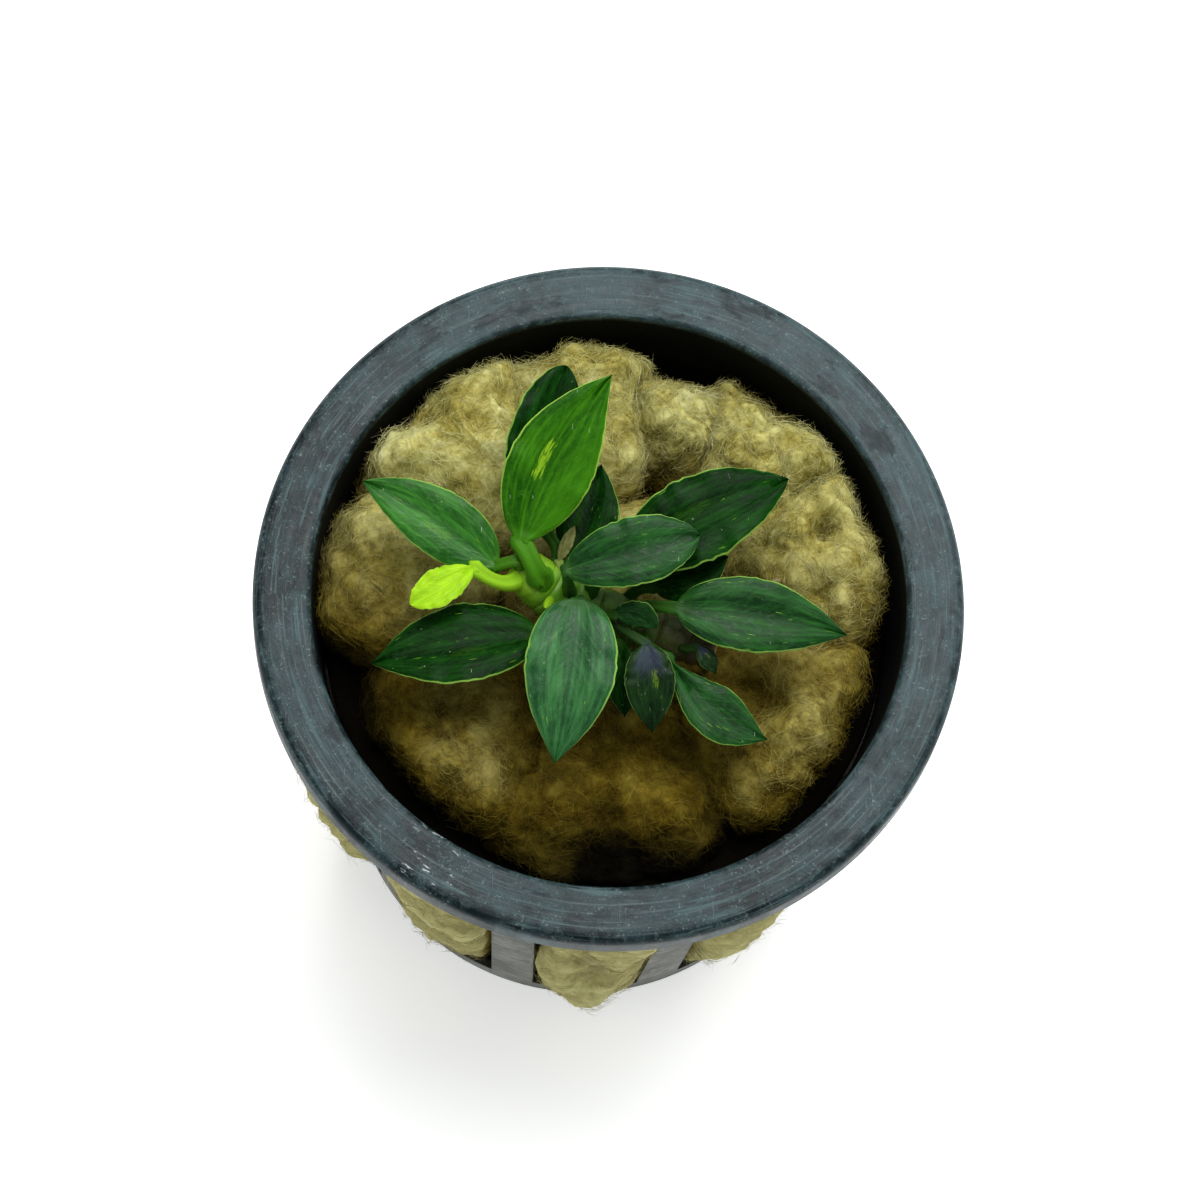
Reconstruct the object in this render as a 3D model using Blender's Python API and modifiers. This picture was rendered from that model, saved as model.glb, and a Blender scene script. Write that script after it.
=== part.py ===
"""Potted anubias: a small creeping plant on rock wool, in a slotted net pot.

The pot stands on z = 0 with its axis on the Z axis.  The wool core fills it and
bulges out of its windows, torn wads of wool lie on the core, and the plant's
rhizome lies on the wads.  Each leaf is one loft: a round petiole that opens into
its blade.  Sizes are in metres; the lists below are in millimetres.
"""

import math
from collections import namedtuple

import bmesh
import bpy
from mathutils import Vector

MM = 0.001
UP = Vector((0, 0, 1))

# Every two pieces that touch keep this gap.
GAP = 0.3 * MM

# Net pot
POT_HEIGHT = 50 * MM
RIM_RADIUS = 28 * MM
RIM_THICKNESS = 1.2 * MM
RIM_ROUND = 0.8 * MM
ROUND_STEPS = 3
LIP_DEPTH = 2.75 * MM
WALL = 1.0 * MM
WALL_TOP_RADIUS = 24.4 * MM
WALL_BASE_RADIUS = 20 * MM
BASE_CHAMFER = 0.4 * MM
FLOOR_THICKNESS = 1.2 * MM
MOUTH_CHAMFER = 0.3 * MM
POT_STEPS = 60
MERGE_DISTANCE = 0.01 * MM

# Windows in the pot's wall, and drain slots in its floor
WINDOWS = 10
PITCH = 2 * math.pi / WINDOWS
WINDOW_BOTTOM = 3 * MM
WINDOW_TOP = 38.5 * MM
SLAT_WIDTH = 3.7 * MM
CUT_OUTSIDE = 3 * MM
CUT_INSIDE = 4 * MM
SLOT_WIDTH = 2.4 * MM
SLOT_START = 7.5 * MM
SLOT_END = 16 * MM

# Wool core.  It stands out of each window by a share of the largest bulge, in lobes
# given as shares of the window's half width and of the bulge there.
CORE_TOP = 41 * MM
BULGE = 2.6 * MM
BULGE_SHARES = (0.75, 0.95, 0.65, 0.85, 0.7, 0.9, 0.8, 0.95, 0.75, 0.7)
BULGE_ROWS = 5
WINDOW_GAP = 0.4 * MM
LOBE = ((-1.0, 0.0), (-0.95, 0.45), (-0.55, 0.92), (0.0, 1.0), (0.55, 0.92), (0.95, 0.45), (1.0, 0.0))
LOBE_END_SHARE = 0.12
LOBE_END_HEIGHT = 0.5 * MM

# Torn wads of wool on the core, in millimetres: the middle and the top of each, and how
# far it reaches from the pot's axis and from its own middle
WAD_BASE = CORE_TOP + GAP
WAD_POINTS = 20
Wad = namedtuple("Wad", "name x y top reach spread")
WADS = [
    Wad("wool_front", -0.7, -13.9, 46.4, 20.6, 11.0),
    Wad("wool_left_front", -12.7, -9.9, 47.4, 20.3, 8.6),
    Wad("wool_left", -16.2, 3.1, 49.8, 22.2, 7.4),
    Wad("wool_back_left", -11.2, 13.1, 51.2, 22.5, 9.6),
    Wad("wool_back", -1.7, 16.1, 51.0, 22.5, 7.4),
    Wad("wool_roll", 5.8, 15.9, 49.0, 20.3, 5.0),
    Wad("wool_back_right", 12.4, 13.8, 49.2, 21.9, 7.4),
    Wad("wool_right", 17.0, 4.6, 50.2, 22.0, 7.6),
    Wad("wool_right_front", 14.3, -8.4, 48.6, 21.0, 9.0),
    Wad("wool_middle", 0.8, 1.1, 48.6, 22.3, 12.0),
]
# A wad's rings from its base up: share of its footprint, share of its height
WAD_RINGS = ((0.94, 0.0), (1.0, 0.25), (0.98, 0.6), (0.84, 0.86), (0.5, 0.98))

# The rhizome's centre line from the growing tip to the old cut end, with its radius
RHIZOME = [
    (-7.1, 1.2, 54.4, 1.0),
    (-5.8, 0.1, 53.5, 1.55),
    (-4.2, -0.8, 52.6, 1.75),
    (-1.8, -1.4, 51.7, 1.75),
    (0.8, -2.1, 51.3, 1.8),
    (3.4, -3.0, 51.1, 1.7),
    (6.0, -3.9, 50.9, 1.7),
    (8.2, -4.7, 50.9, 1.5),
]
RHIZOME_POINTS = 29
KNUCKLE = 0.07
# The share of the length over which its direction at a stem's foot is taken
NODE_STEP = 0.05

# A leaf stands on the rhizome at a share of the rhizome's length, leaning from
# straight up towards the back.  Neck and tip are the ends of its blade.  The blade is
# widest at a share of its length, and low base and end numbers make those ends round.
# Arch lifts the blade's middle, bend moves it to its left, and roll turns the blade
# about its own length, left edge up.
Leaf = namedtuple("Leaf", "name node lean neck tip width widest base end arch bend roll stalk")
LEAVES = [
    Leaf("leaf_bright", 0.16, -8, (-7.2, 2.2, 57.0), (-0.4, 13.7, 63),
         6.8, 0.38, 0.55, 0.95, 0.6, 0.7, 12, 0.8),
    Leaf("leaf_back", 0.2, 75, (-5.5, 4.2, 54.2), (-3.7, 16.1, 58.4),
         6.2, 0.45, 0.6, 0.55, 0.6, 0.7, 10, 0.5),
    Leaf("leaf_back_shaded", 0.34, 65, (-2.8, 2.0, 52.9), (-0.8, 9.5, 54.0),
         5.0, 0.43, 0.6, 0.9, 0.2, 0, 0, 0.5),
    Leaf("leaf_left_upper", 0.0, -10, (-9.1, 0.8, 55.0), (-19.4, 7.3, 56),
         5.2, 0.4, 0.65, 0.8, 0.7, -0.3, -12, 0.5),
    Leaf("leaf_new", 0.05, -70, (-10.8, 0.3, 56.0), (-15.7, -2.7, 56),
         3.0, 0.55, 0.6, 0.55, 0.5, 0.1, 0, 0.6),
    Leaf("leaf_left_lower", 0.34, -88, (-5.8, -4.4, 53.6), (-18.6, -6.6, 53),
         6.7, 0.45, 0.55, 0.9, 0.9, -0.1, 8, 0.5),
    Leaf("leaf_front", 0.37, -25, (-2.9, -2.6, 57), (-4.6, -14.9, 54.5),
         7.1, 0.42, 0.42, 0.95, 1.1, 0.2, 0, 0.55),
    Leaf("leaf_centre", 0.33, 0, (-3.9, -0.7, 58.5), (6.4, 1.9, 59.5),
         5.4, 0.53, 0.45, 0.6, 0.7, -0.1, 8, 0.5),
    Leaf("leaf_right_upper", 0.42, 20, (1.2, 1.4, 55.8), (13.5, 7.2, 57.5),
         7.0, 0.43, 0.55, 0.75, 0.7, 0.1, 0, 0.5),
    Leaf("leaf_right_hidden", 0.58, 50, (3.2, -0.4, 53.6), (9.0, 1.9, 54.3),
         4.8, 0.45, 0.55, 0.9, 0.4, 0, 0, 0.45),
    Leaf("leaf_right", 0.62, 10, (4.8, -2.7, 55.5), (18.1, -4.3, 54),
         5.9, 0.42, 0.6, 0.9, 1.0, 0.1, 8, 0.5),
    Leaf("leaf_curled", 0.46, -30, (0.2, -3.0, 54.8), (3.4, -4.0, 54.4),
         2.3, 0.5, 0.5, 0.8, 0.6, 0.4, 40, 0.4),
    Leaf("leaf_small_front", 0.55, -30, (2.6, -5.2, 54.2), (3.1, -11.5, 51.6),
         4.0, 0.45, 0.6, 0.9, 0.8, 0, 0, 0.4),
    Leaf("leaf_right_front", 0.68, -50, (4.4, -6.0, 53), (12.0, -12.0, 51.3),
         4.3, 0.58, 0.85, 1.05, 0.6, -1.1, 0, 0.45),
    Leaf("leaf_narrow", 0.85, -40, (6.6, -5.3, 54.0), (8.0, -7.3, 53.4),
         1.5, 0.5, 0.6, 1.0, 0.3, 0, 0, 0.35),
    Leaf("leaf_front_low", 0.46, -75, (0.8, -4.8, 52.9), (1.0, -10.1, 51),
         3.0, 0.5, 0.6, 1.0, 0.5, 0, 0, 0.4),
    Leaf("leaf_sheath", 0.24, 38, (-4.2, 1.3, 54.6), (-3.0, 3.9, 55.6),
         1.5, 0.5, 0.6, 0.8, 0.2, 0, 0, 0.35),
]
STALK_SHARES = (0.0, 0.4, 0.8)
# How far a petiole holds its first direction, as a share of its length
STALK_RISE = 0.35
SECTION_POINTS = 8
BLADE_SHARES = (0.0, 0.06, 0.15, 0.28, 0.42, 0.56, 0.7, 0.82, 0.92, 0.98)
BLADE_THICKNESS = 0.45 * MM
TIP_WIDTH = 0.25 * MM
CHANNEL = 0.10

# The pointed bud stands on the rhizome as a leaf does.
BUD_NODE = 0.27
BUD_LEAN = -35
BUD_RADIUS = 0.5 * MM
BUD_TIP_RADIUS = 0.1 * MM
BUD_LENGTH = 2.0 * MM

# Roots run from under the rhizome over the wool, as lists of points.
ROOT_RADIUS = 0.3 * MM
ROOTS = {
    "root_back": [(-2.2, 1.0, 50.2), (-1.8, 3.2, 49.9), (-0.6, 5.4, 49.6), (0.4, 8.2, 49.6)],
    "root_right": [(7.2, -2.0, 49.8), (9.0, -0.2, 49.6), (11.0, 1.0, 49.6), (13.4, 1.4, 50.2)],
    "root_front": [(-1.6, -3.6, 50.0), (-2.0, -5.4, 49.8), (-3.2, -7.4, 49.4), (-3.8, -9.8, 48.6)],
}


# ---------------------------------------------------------------- helpers

def clear_scene():
    for thing in list(bpy.data.objects):
        bpy.data.objects.remove(thing, do_unlink=True)


def new_collection(name):
    collection = bpy.data.collections.new(name)
    bpy.context.scene.collection.children.link(collection)
    return collection


def material(name, color, roughness, metallic=0.0):
    made = bpy.data.materials.new(name)
    made.use_nodes = True
    shader = made.node_tree.nodes["Principled BSDF"]
    shader.inputs["Base Color"].default_value = (*color, 1.0)
    shader.inputs["Roughness"].default_value = roughness
    shader.inputs["Metallic"].default_value = metallic
    made.diffuse_color = (*color, 1.0)
    return made


def mesh_object(name, mesh, finish, collection, smooth_angle=None):
    made = bpy.data.objects.new(name, mesh)
    collection.objects.link(made)
    if finish is not None:
        mesh.materials.append(finish)
    if smooth_angle is not None:
        mesh.shade_smooth()
        mesh.set_sharp_from_angle(angle=math.radians(smooth_angle))
    return made


def polar(radius, angle, height):
    return Vector((radius * math.cos(angle), radius * math.sin(angle), height))


def bezier(start, middle, end, share):
    """A point of the curve from start to end that is pulled towards middle."""
    rest = 1 - share
    return start * rest * rest + middle * 2 * rest * share + end * share * share


def loft(rings, end_point=None):
    """A closed mesh over rings of equal count, which may run together at an end point.

    Seen from its end, each ring runs anticlockwise.
    """
    bm = bmesh.new()
    rows = [[bm.verts.new(point) for point in ring] for ring in rings]
    count = len(rows[0])
    for low, high in zip(rows, rows[1:]):
        for i in range(count):
            j = (i + 1) % count
            bm.faces.new((low[i], low[j], high[j], high[i]))
    bm.faces.new(rows[0][::-1])
    last = rows[-1]
    if end_point is None:
        bm.faces.new(last)
    else:
        apex = bm.verts.new(end_point)
        for i in range(count):
            bm.faces.new((last[i], last[(i + 1) % count], apex))
    mesh = bpy.data.meshes.new("loft")
    bm.to_mesh(mesh)
    bm.free()
    return mesh


def tube(points, radii, sides_of_quarter):
    """A closed round tube along the points, with its own radius at each."""
    data = bpy.data.curves.new("tube", "CURVE")
    data.dimensions = "3D"
    data.bevel_depth = 1.0
    data.bevel_resolution = sides_of_quarter - 1
    data.use_fill_caps = True
    spline = data.splines.new("POLY")
    spline.points.add(len(points) - 1)
    for target, place, radius in zip(spline.points, points, radii):
        target.co = (*place, 1)
        target.radius = radius
    curve = bpy.data.objects.new("tube_line", data)
    bpy.context.scene.collection.objects.link(curve)
    bpy.context.view_layer.update()
    graph = bpy.context.evaluated_depsgraph_get()
    mesh = bpy.data.meshes.new_from_object(curve.evaluated_get(graph))
    bpy.data.objects.remove(curve, do_unlink=True)
    bm = bmesh.new()
    bm.from_mesh(mesh)
    bmesh.ops.remove_doubles(bm, verts=bm.verts, dist=MERGE_DISTANCE)
    bm.to_mesh(mesh)
    bm.free()
    mesh.materials.clear()
    return mesh


# ---------------------------------------------------------------- net pot

def wall_radius(height):
    """The wall's outer radius at a height."""
    top = POT_HEIGHT - RIM_THICKNESS
    share = height / top
    return WALL_BASE_RADIUS + (WALL_TOP_RADIUS - WALL_BASE_RADIUS) * share


def pot_profile():
    """The pot's section: out along the floor, up inside, over the rim, down outside."""
    top = POT_HEIGHT
    under = top - RIM_THICKNESS
    lip_bottom = top - LIP_DEPTH
    inner_top = WALL_TOP_RADIUS - WALL
    points = [
        (0, FLOOR_THICKNESS),
        (wall_radius(FLOOR_THICKNESS) - WALL, FLOOR_THICKNESS),
        (inner_top, top - MOUTH_CHAMFER),
        (inner_top + MOUTH_CHAMFER, top),
    ]
    for step in range(ROUND_STEPS + 1):
        angle = math.pi / 2 * (1 - step / ROUND_STEPS)
        points.append((RIM_RADIUS - RIM_ROUND + RIM_ROUND * math.cos(angle),
                       top - RIM_ROUND + RIM_ROUND * math.sin(angle)))
    points += [
        (RIM_RADIUS, lip_bottom),
        (RIM_RADIUS - WALL, lip_bottom),
        (RIM_RADIUS - WALL, under),
        (WALL_TOP_RADIUS, under),
        (wall_radius(BASE_CHAMFER), BASE_CHAMFER),
        (WALL_BASE_RADIUS - BASE_CHAMFER, 0),
        (0, 0),
    ]
    return points


def pot_cutters(collection):
    """One wedge for each window and one bar for each drain slot, in one cutter."""
    bm = bmesh.new()
    for index in range(WINDOWS):
        angle = (index + 0.5) * PITCH
        out = Vector((math.cos(angle), math.sin(angle), 0))
        side = Vector((-math.sin(angle), math.cos(angle), 0))
        window = bmesh.ops.create_cube(bm, size=1)["verts"]
        for vert in window:
            upper = vert.co.z > 0
            height = WINDOW_TOP if upper else WINDOW_BOTTOM
            wall_at = wall_radius(height)
            width = PITCH * wall_at - SLAT_WIDTH
            reach = wall_at + (CUT_OUTSIDE if vert.co.x > 0 else -CUT_INSIDE)
            vert.co = out * reach + side * width * vert.co.y + Vector((0, 0, height))
        slot = bmesh.ops.create_cube(bm, size=1)["verts"]
        for vert in slot:
            reach = SLOT_END if vert.co.x > 0 else SLOT_START
            height = 2 * FLOOR_THICKNESS * vert.co.z + FLOOR_THICKNESS / 2
            vert.co = out * reach + side * SLOT_WIDTH * vert.co.y + Vector((0, 0, height))
    mesh = bpy.data.meshes.new("pot_cutter")
    bm.to_mesh(mesh)
    bm.free()
    cutter = mesh_object("pot_cutter", mesh, None, collection)
    cutter.hide_render = True
    cutter.display_type = "WIRE"
    return cutter


def net_pot(parts, cutters):
    points = pot_profile()
    mesh = bpy.data.meshes.new("net_pot")
    edges = [(i, i + 1) for i in range(len(points) - 1)]
    mesh.from_pydata([(radius, 0, height) for radius, height in points], edges, [])
    plastic = material("pot_plastic", (0.055, 0.065, 0.07), 0.45)
    pot = mesh_object("net_pot", mesh, plastic, parts)
    screw = pot.modifiers.new("turn", "SCREW")
    screw.axis = "Z"
    screw.steps = POT_STEPS
    screw.render_steps = POT_STEPS
    screw.use_merge_vertices = True
    screw.merge_threshold = MERGE_DISTANCE
    cut = pot.modifiers.new("windows", "BOOLEAN")
    cut.operation = "DIFFERENCE"
    cut.solver = "EXACT"
    cut.object = pot_cutters(cutters)


# ---------------------------------------------------------------- wool

def core_rows():
    """Heights of the core's rings, each with the share of the bulge that it has."""
    low = WINDOW_BOTTOM + WINDOW_GAP
    high = WINDOW_TOP - WINDOW_GAP
    rows = [(FLOOR_THICKNESS + GAP, 0.0), (low, 0.0)]
    for row in range(BULGE_ROWS):
        share = row / (BULGE_ROWS - 1)
        height = low + LOBE_END_HEIGHT + (high - low - 2 * LOBE_END_HEIGHT) * share
        swell = math.sin(math.pi * (LOBE_END_SHARE + (1 - 2 * LOBE_END_SHARE) * share))
        rows.append((height, swell))
    return rows + [(high, 0.0), (CORE_TOP, 0.0)]


def wool_core(parts, wool):
    """The wool that fills the pot: a lobe stands out through each window."""
    rings = []
    for height, swell in core_rows():
        wall_at = wall_radius(height)
        inside = wall_at - WALL - GAP
        half_window = PITCH / 2 - (SLAT_WIDTH / 2 + WINDOW_GAP) / wall_at
        ring = []
        for index, bulge_share in enumerate(BULGE_SHARES):
            beyond = WALL + GAP + BULGE * bulge_share * swell if swell else 0.0
            for across, out in LOBE:
                angle = (index + 0.5) * PITCH + half_window * across
                ring.append(polar(inside + beyond * out, angle, height))
        rings.append(ring)
    mesh_object("wool_core", loft(rings), wool, parts, smooth_angle=60)


def reach_of(wad, angle):
    """How far a wad's foot reaches at an angle, at most half way to another wad."""
    middle = Vector((wad.x, wad.y)) * MM
    way = Vector((math.cos(angle), math.sin(angle)))
    along = middle.dot(way)
    reach = -along + math.sqrt(along ** 2 - middle.length_squared + (wad.reach * MM) ** 2)
    reach = min(reach, wad.spread * MM)
    for other in WADS:
        between = Vector((other.x, other.y)) * MM - middle
        closing = way.dot(between)
        if other is not wad and closing > 0:
            reach = min(reach, (between.length / 2 - GAP) * between.length / closing)
    return reach


def wool_wad(wad, parts, wool):
    height = wad.top * MM - WAD_BASE
    rings = []
    for share, level in WAD_RINGS:
        ring = []
        for point in range(WAD_POINTS):
            angle = 2 * math.pi * point / WAD_POINTS
            edge = polar(reach_of(wad, angle) * share, angle, WAD_BASE + height * level)
            ring.append(edge + Vector((wad.x, wad.y, 0)) * MM)
        rings.append(ring)
    crown = Vector((wad.x * MM, wad.y * MM, wad.top * MM))
    mesh_object(wad.name, loft(rings, end_point=crown), wool, parts, smooth_angle=60)


# ---------------------------------------------------------------- plant

def rhizome_at(share):
    """The rhizome's centre and radius at a share of its length."""
    place = min(max(share, 0.0), 1.0) * (len(RHIZOME) - 1)
    index = min(int(place), len(RHIZOME) - 2)
    part = place - index
    here = Vector(RHIZOME[index])
    there = Vector(RHIZOME[index + 1])
    mixed = here.lerp(there, part)
    return mixed.to_3d() * MM, mixed[3] * MM


def rhizome(parts):
    """A knuckled tube from the growing tip to the old cut end."""
    points = []
    radii = []
    for index in range(RHIZOME_POINTS):
        centre, radius = rhizome_at(index / (RHIZOME_POINTS - 1))
        points.append(centre)
        radii.append(radius * (1 + KNUCKLE * math.cos(math.pi * index)))
    skin = material("rhizome_skin", (0.16, 0.22, 0.06), 0.6)
    mesh_object("rhizome", tube(points, radii, 3), skin, parts, smooth_angle=50)


def blade_width(spec, share):
    """A blade's width at a share of its length, from 0 at the neck to 1 at its widest."""
    power = math.log(0.5) / math.log(spec.widest)
    fullness = spec.base + (spec.end - spec.base) * share
    return math.sin(math.pi * share ** power) ** fullness


def stand_on_rhizome(share, lean):
    """Where a stem stands at a share of the rhizome's length, and which way it points."""
    centre, radius = rhizome_at(share)
    along = rhizome_at(share + NODE_STEP)[0] - rhizome_at(share - NODE_STEP)[0]
    across = UP.cross(along).normalized()
    way = UP * math.cos(math.radians(lean)) + across * math.sin(math.radians(lean))
    return centre + way * (radius * (1 + KNUCKLE) + GAP), way


def leaf(spec, parts, finish):
    """One loft from the petiole's foot on the rhizome to the blade's tip."""
    foot, start_way = stand_on_rhizome(spec.node, spec.lean)
    neck = Vector(spec.neck) * MM
    tip = Vector(spec.tip) * MM
    rise = foot + start_way * (neck - foot).length * STALK_RISE
    left = UP.cross(tip - neck).normalized()
    crest = (neck + tip) / 2 + (UP * spec.arch + left * spec.bend) * 2 * MM
    stalk = spec.stalk * MM
    points = [(bezier(foot, rise, neck, share), stalk, stalk) for share in STALK_SHARES]
    for share in BLADE_SHARES:
        half = max(spec.width / 2 * MM * blade_width(spec, share), TIP_WIDTH / 2)
        thick = BLADE_THICKNESS / 2
        if share == 0:
            half = thick = stalk
        points.append((bezier(neck, crest, tip, share), max(half, thick), thick))
    roll = math.radians(spec.roll)
    rings = []
    for index, (place, half, thick) in enumerate(points):
        before = points[max(index - 1, 0)][0]
        after = points[min(index + 1, len(points) - 1)][0]
        way = (after - before).normalized() if index else start_way
        side = UP.cross(way)
        side = left if side.length < 0.3 else side.normalized()
        side = (side - way * side.dot(way)).normalized()
        over = way.cross(side)
        turn = roll if index >= len(STALK_SHARES) else 0.0
        edge = side * math.cos(turn) + over * math.sin(turn)
        face = over * math.cos(turn) - side * math.sin(turn)
        flat = index > len(STALK_SHARES)
        rings.append(leaf_section(place, edge, face, half, thick, flat))
    mesh_object(spec.name, loft(rings), finish, parts, smooth_angle=50)


def leaf_section(place, edge, face, half, thick, flat):
    """Points round a petiole, or round a blade with a channel along its middle."""
    ring = []
    for step in range(SECTION_POINTS):
        angle = 2 * math.pi * step / SECTION_POINTS
        across = math.cos(angle)
        height = thick * math.sin(angle)
        if flat:
            height += CHANNEL * half * (abs(across) - 0.5)
        ring.append(place + edge * half * across + face * height)
    return ring


def bud(parts, finish):
    foot, way = stand_on_rhizome(BUD_NODE, BUD_LEAN)
    bm = bmesh.new()
    bmesh.ops.create_cone(bm, cap_ends=True, segments=SECTION_POINTS, radius1=BUD_RADIUS,
                          radius2=BUD_TIP_RADIUS, depth=BUD_LENGTH)
    mesh = bpy.data.meshes.new("bud")
    bm.to_mesh(mesh)
    bm.free()
    made = mesh_object("bud", mesh, finish, parts, smooth_angle=50)
    made.rotation_euler = way.to_track_quat("Z", "Y").to_euler()
    made.location = foot + way * BUD_LENGTH / 2


def root(name, points, parts, finish):
    places = [Vector(point) * MM for point in points]
    mesh = tube(places, [ROOT_RADIUS] * len(places), 2)
    mesh_object(name, mesh, finish, parts, smooth_angle=60)


def main():
    clear_scene()
    parts = new_collection("potted_anubias")
    cutters = new_collection("cutters")
    net_pot(parts, cutters)
    wool = material("rock_wool", (0.36, 0.28, 0.11), 0.95)
    wool_core(parts, wool)
    for wad in WADS:
        wool_wad(wad, parts, wool)
    rhizome(parts)
    green = material("leaf_green", (0.03, 0.14, 0.03), 0.35)
    for spec in LEAVES:
        leaf(spec, parts, green)
    bud(parts, green)
    root_skin = material("root_skin", (0.30, 0.24, 0.10), 0.7)
    for name, points in ROOTS.items():
        root(name, points, parts, root_skin)


main()
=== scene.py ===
"""Looks of the potted anubias: fine pot, torn fibrous wool, leaves, camera and lights."""
from collections import namedtuple
from math import asin, cos, exp, hypot, log, pi, radians, sin, sqrt

import bmesh
import bpy
import numpy as np
from mathutils import Matrix, Vector


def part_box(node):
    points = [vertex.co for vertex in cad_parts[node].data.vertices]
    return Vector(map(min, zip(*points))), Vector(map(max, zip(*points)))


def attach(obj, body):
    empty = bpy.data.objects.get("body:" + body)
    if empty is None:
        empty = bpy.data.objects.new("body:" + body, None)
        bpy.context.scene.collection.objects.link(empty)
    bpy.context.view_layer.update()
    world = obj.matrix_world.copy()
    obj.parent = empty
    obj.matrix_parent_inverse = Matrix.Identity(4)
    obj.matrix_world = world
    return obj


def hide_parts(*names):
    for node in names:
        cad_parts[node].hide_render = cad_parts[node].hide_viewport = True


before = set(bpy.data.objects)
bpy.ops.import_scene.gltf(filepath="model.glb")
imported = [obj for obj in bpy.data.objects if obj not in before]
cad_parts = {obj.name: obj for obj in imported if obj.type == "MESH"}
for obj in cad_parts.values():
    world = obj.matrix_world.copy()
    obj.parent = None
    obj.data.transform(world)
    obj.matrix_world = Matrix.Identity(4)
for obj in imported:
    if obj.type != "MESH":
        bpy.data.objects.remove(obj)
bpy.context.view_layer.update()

MM = 0.001
UP = Vector((0, 0, 1))

# ---- sizes from the frame ----

# All sizes are in millimetres until a mesh is made
RIM_RADIUS, _, POT_HEIGHT = (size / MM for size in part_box("net_pot")[1])
CORE_LOW, CORE_HIGH = (box[2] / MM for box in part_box("wool_core"))
WALL = 1.0
WALL_TOP_RADIUS = RIM_RADIUS - 3.6
WALL_BASE_RADIUS = RIM_RADIUS - 8
RIM_THICKNESS = 1.2
RIM_ROUND = 0.8
INNER_ROUND = 0.5
LIP_DEPTH = 2.75
FLOOR_THICKNESS = 1.2
WALL_SLOPE = (WALL_TOP_RADIUS - WALL_BASE_RADIUS) / (POT_HEIGHT - RIM_THICKNESS)
WINDOWS = 10
PITCH = 2 * pi / WINDOWS
WINDOW_BOTTOM = 3
WINDOW_TOP = 38.5
SLAT_WIDTH = 3.7
SLOT_WIDTH = 2.4
SLOT_START = 7.5
SLOT_END = 16
WELD = 0.001


def wall_radius(height):
    """The pot wall's outer radius at a height, which may be an array."""
    return WALL_BASE_RADIUS + WALL_SLOPE * height


# ---- noise ----

# Large odd numbers that scatter whole-number cells over the range of a 32-bit word
SCATTER = np.array([73856093, 19349663, 83492791])
SCATTER_SEED = 2654435761
STIR = 0x45D9F3B
WORD = 0xFFFFFFFF


def lattice(cell, seed):
    """A fixed number from -1 to 1 for each whole-number cell."""
    mixed = (np.bitwise_xor.reduce(cell * SCATTER, axis=-1) ^ (seed * SCATTER_SEED)) & WORD
    for _ in range(2):
        mixed = ((mixed ^ (mixed >> 16)) * STIR) & WORD
    return (mixed ^ (mixed >> 16)) / (WORD // 2) - 1.0


def ease(share):
    """A share from 0 to 1 that sets off and arrives softly."""
    return share * share * (3 - 2 * share)


def noise(points, size, seed):
    """Smooth noise from -1 to 1 with features of the given size."""
    place = np.asarray(points) / size
    cell = np.floor(place).astype(np.int64)
    part = ease(place - cell)
    total = 0.0
    for corner in np.ndindex(2, 2, 2):
        weight = np.prod(np.where(corner, part, 1 - part), axis=-1)
        total = total + weight * lattice(cell + np.array(corner), seed)
    return total


def layered(points, size, seed, layers=3, fade=0.5):
    """Noise at several sizes, each half as large as the one before."""
    total = 0.0
    for layer in range(layers):
        total = total + noise(points, size / 2 ** layer, seed + layer) * fade ** layer
    return total


def noise_vector(points, size, seed):
    """Three noises, one for each axis."""
    return np.stack([noise(points, size, seed + 11 * axis) for axis in range(3)], -1)


def unit(vectors):
    """Vectors of length 1 that point the same ways."""
    return vectors / np.maximum(np.linalg.norm(vectors, axis=-1, keepdims=True), 1e-9)


# ---- mesh helpers ----

def put_in_scene(name, data):
    """A new object that shows the given mesh, lamp or camera."""
    made = bpy.data.objects.new(name, data)
    bpy.context.scene.collection.objects.link(made)
    return made


def mesh_from(name, points, *face_arrays):
    """A mesh object from points in millimetres and arrays of quads or triangles."""
    mesh = bpy.data.meshes.new(name)
    faces = [face for faces in face_arrays for face in np.asarray(faces).tolist()]
    mesh.from_pydata((np.asarray(points) * MM).tolist(), [], faces)
    mesh.validate()
    return put_in_scene(name, mesh)


def grid_faces(rows, columns, keep=lambda row, column: True):
    """Quads over rows of points that each close on themselves, where keep says so."""
    cells = [(row * columns, column, (column + 1) % columns)
             for row in range(rows - 1) for column in range(columns) if keep(row, column)]
    return [(low + a, low + b, low + columns + b, low + columns + a) for low, a, b in cells]


def end_fans(rows, columns):
    """Triangles that close the first and last rows to two points added after them."""
    pole, start = rows * columns, (rows - 1) * columns
    pairs = [(i, (i + 1) % columns) for i in range(columns)]
    return ([(after, i, pole) for i, after in pairs]
            + [(start + i, start + after, pole + 1) for i, after in pairs])


def weld(piece):
    """Joins points in one place, as where a turned section meets its own axis."""
    bm = bmesh.new()
    bm.from_mesh(piece.data)
    bmesh.ops.remove_doubles(bm, verts=bm.verts, dist=WELD * MM)
    bmesh.ops.dissolve_degenerate(bm, edges=bm.edges, dist=WELD * MM / 10)
    bmesh.ops.recalc_face_normals(bm, faces=bm.faces)
    bm.to_mesh(piece.data)
    bm.free()


def set_values(piece, **values):
    """Stores numbers for each vertex, for the material to read."""
    for name, numbers in values.items():
        layer = piece.data.attributes.new(name, "FLOAT", "POINT")
        layer.data.foreach_set("value", np.asarray(numbers, dtype=np.float32))


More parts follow.
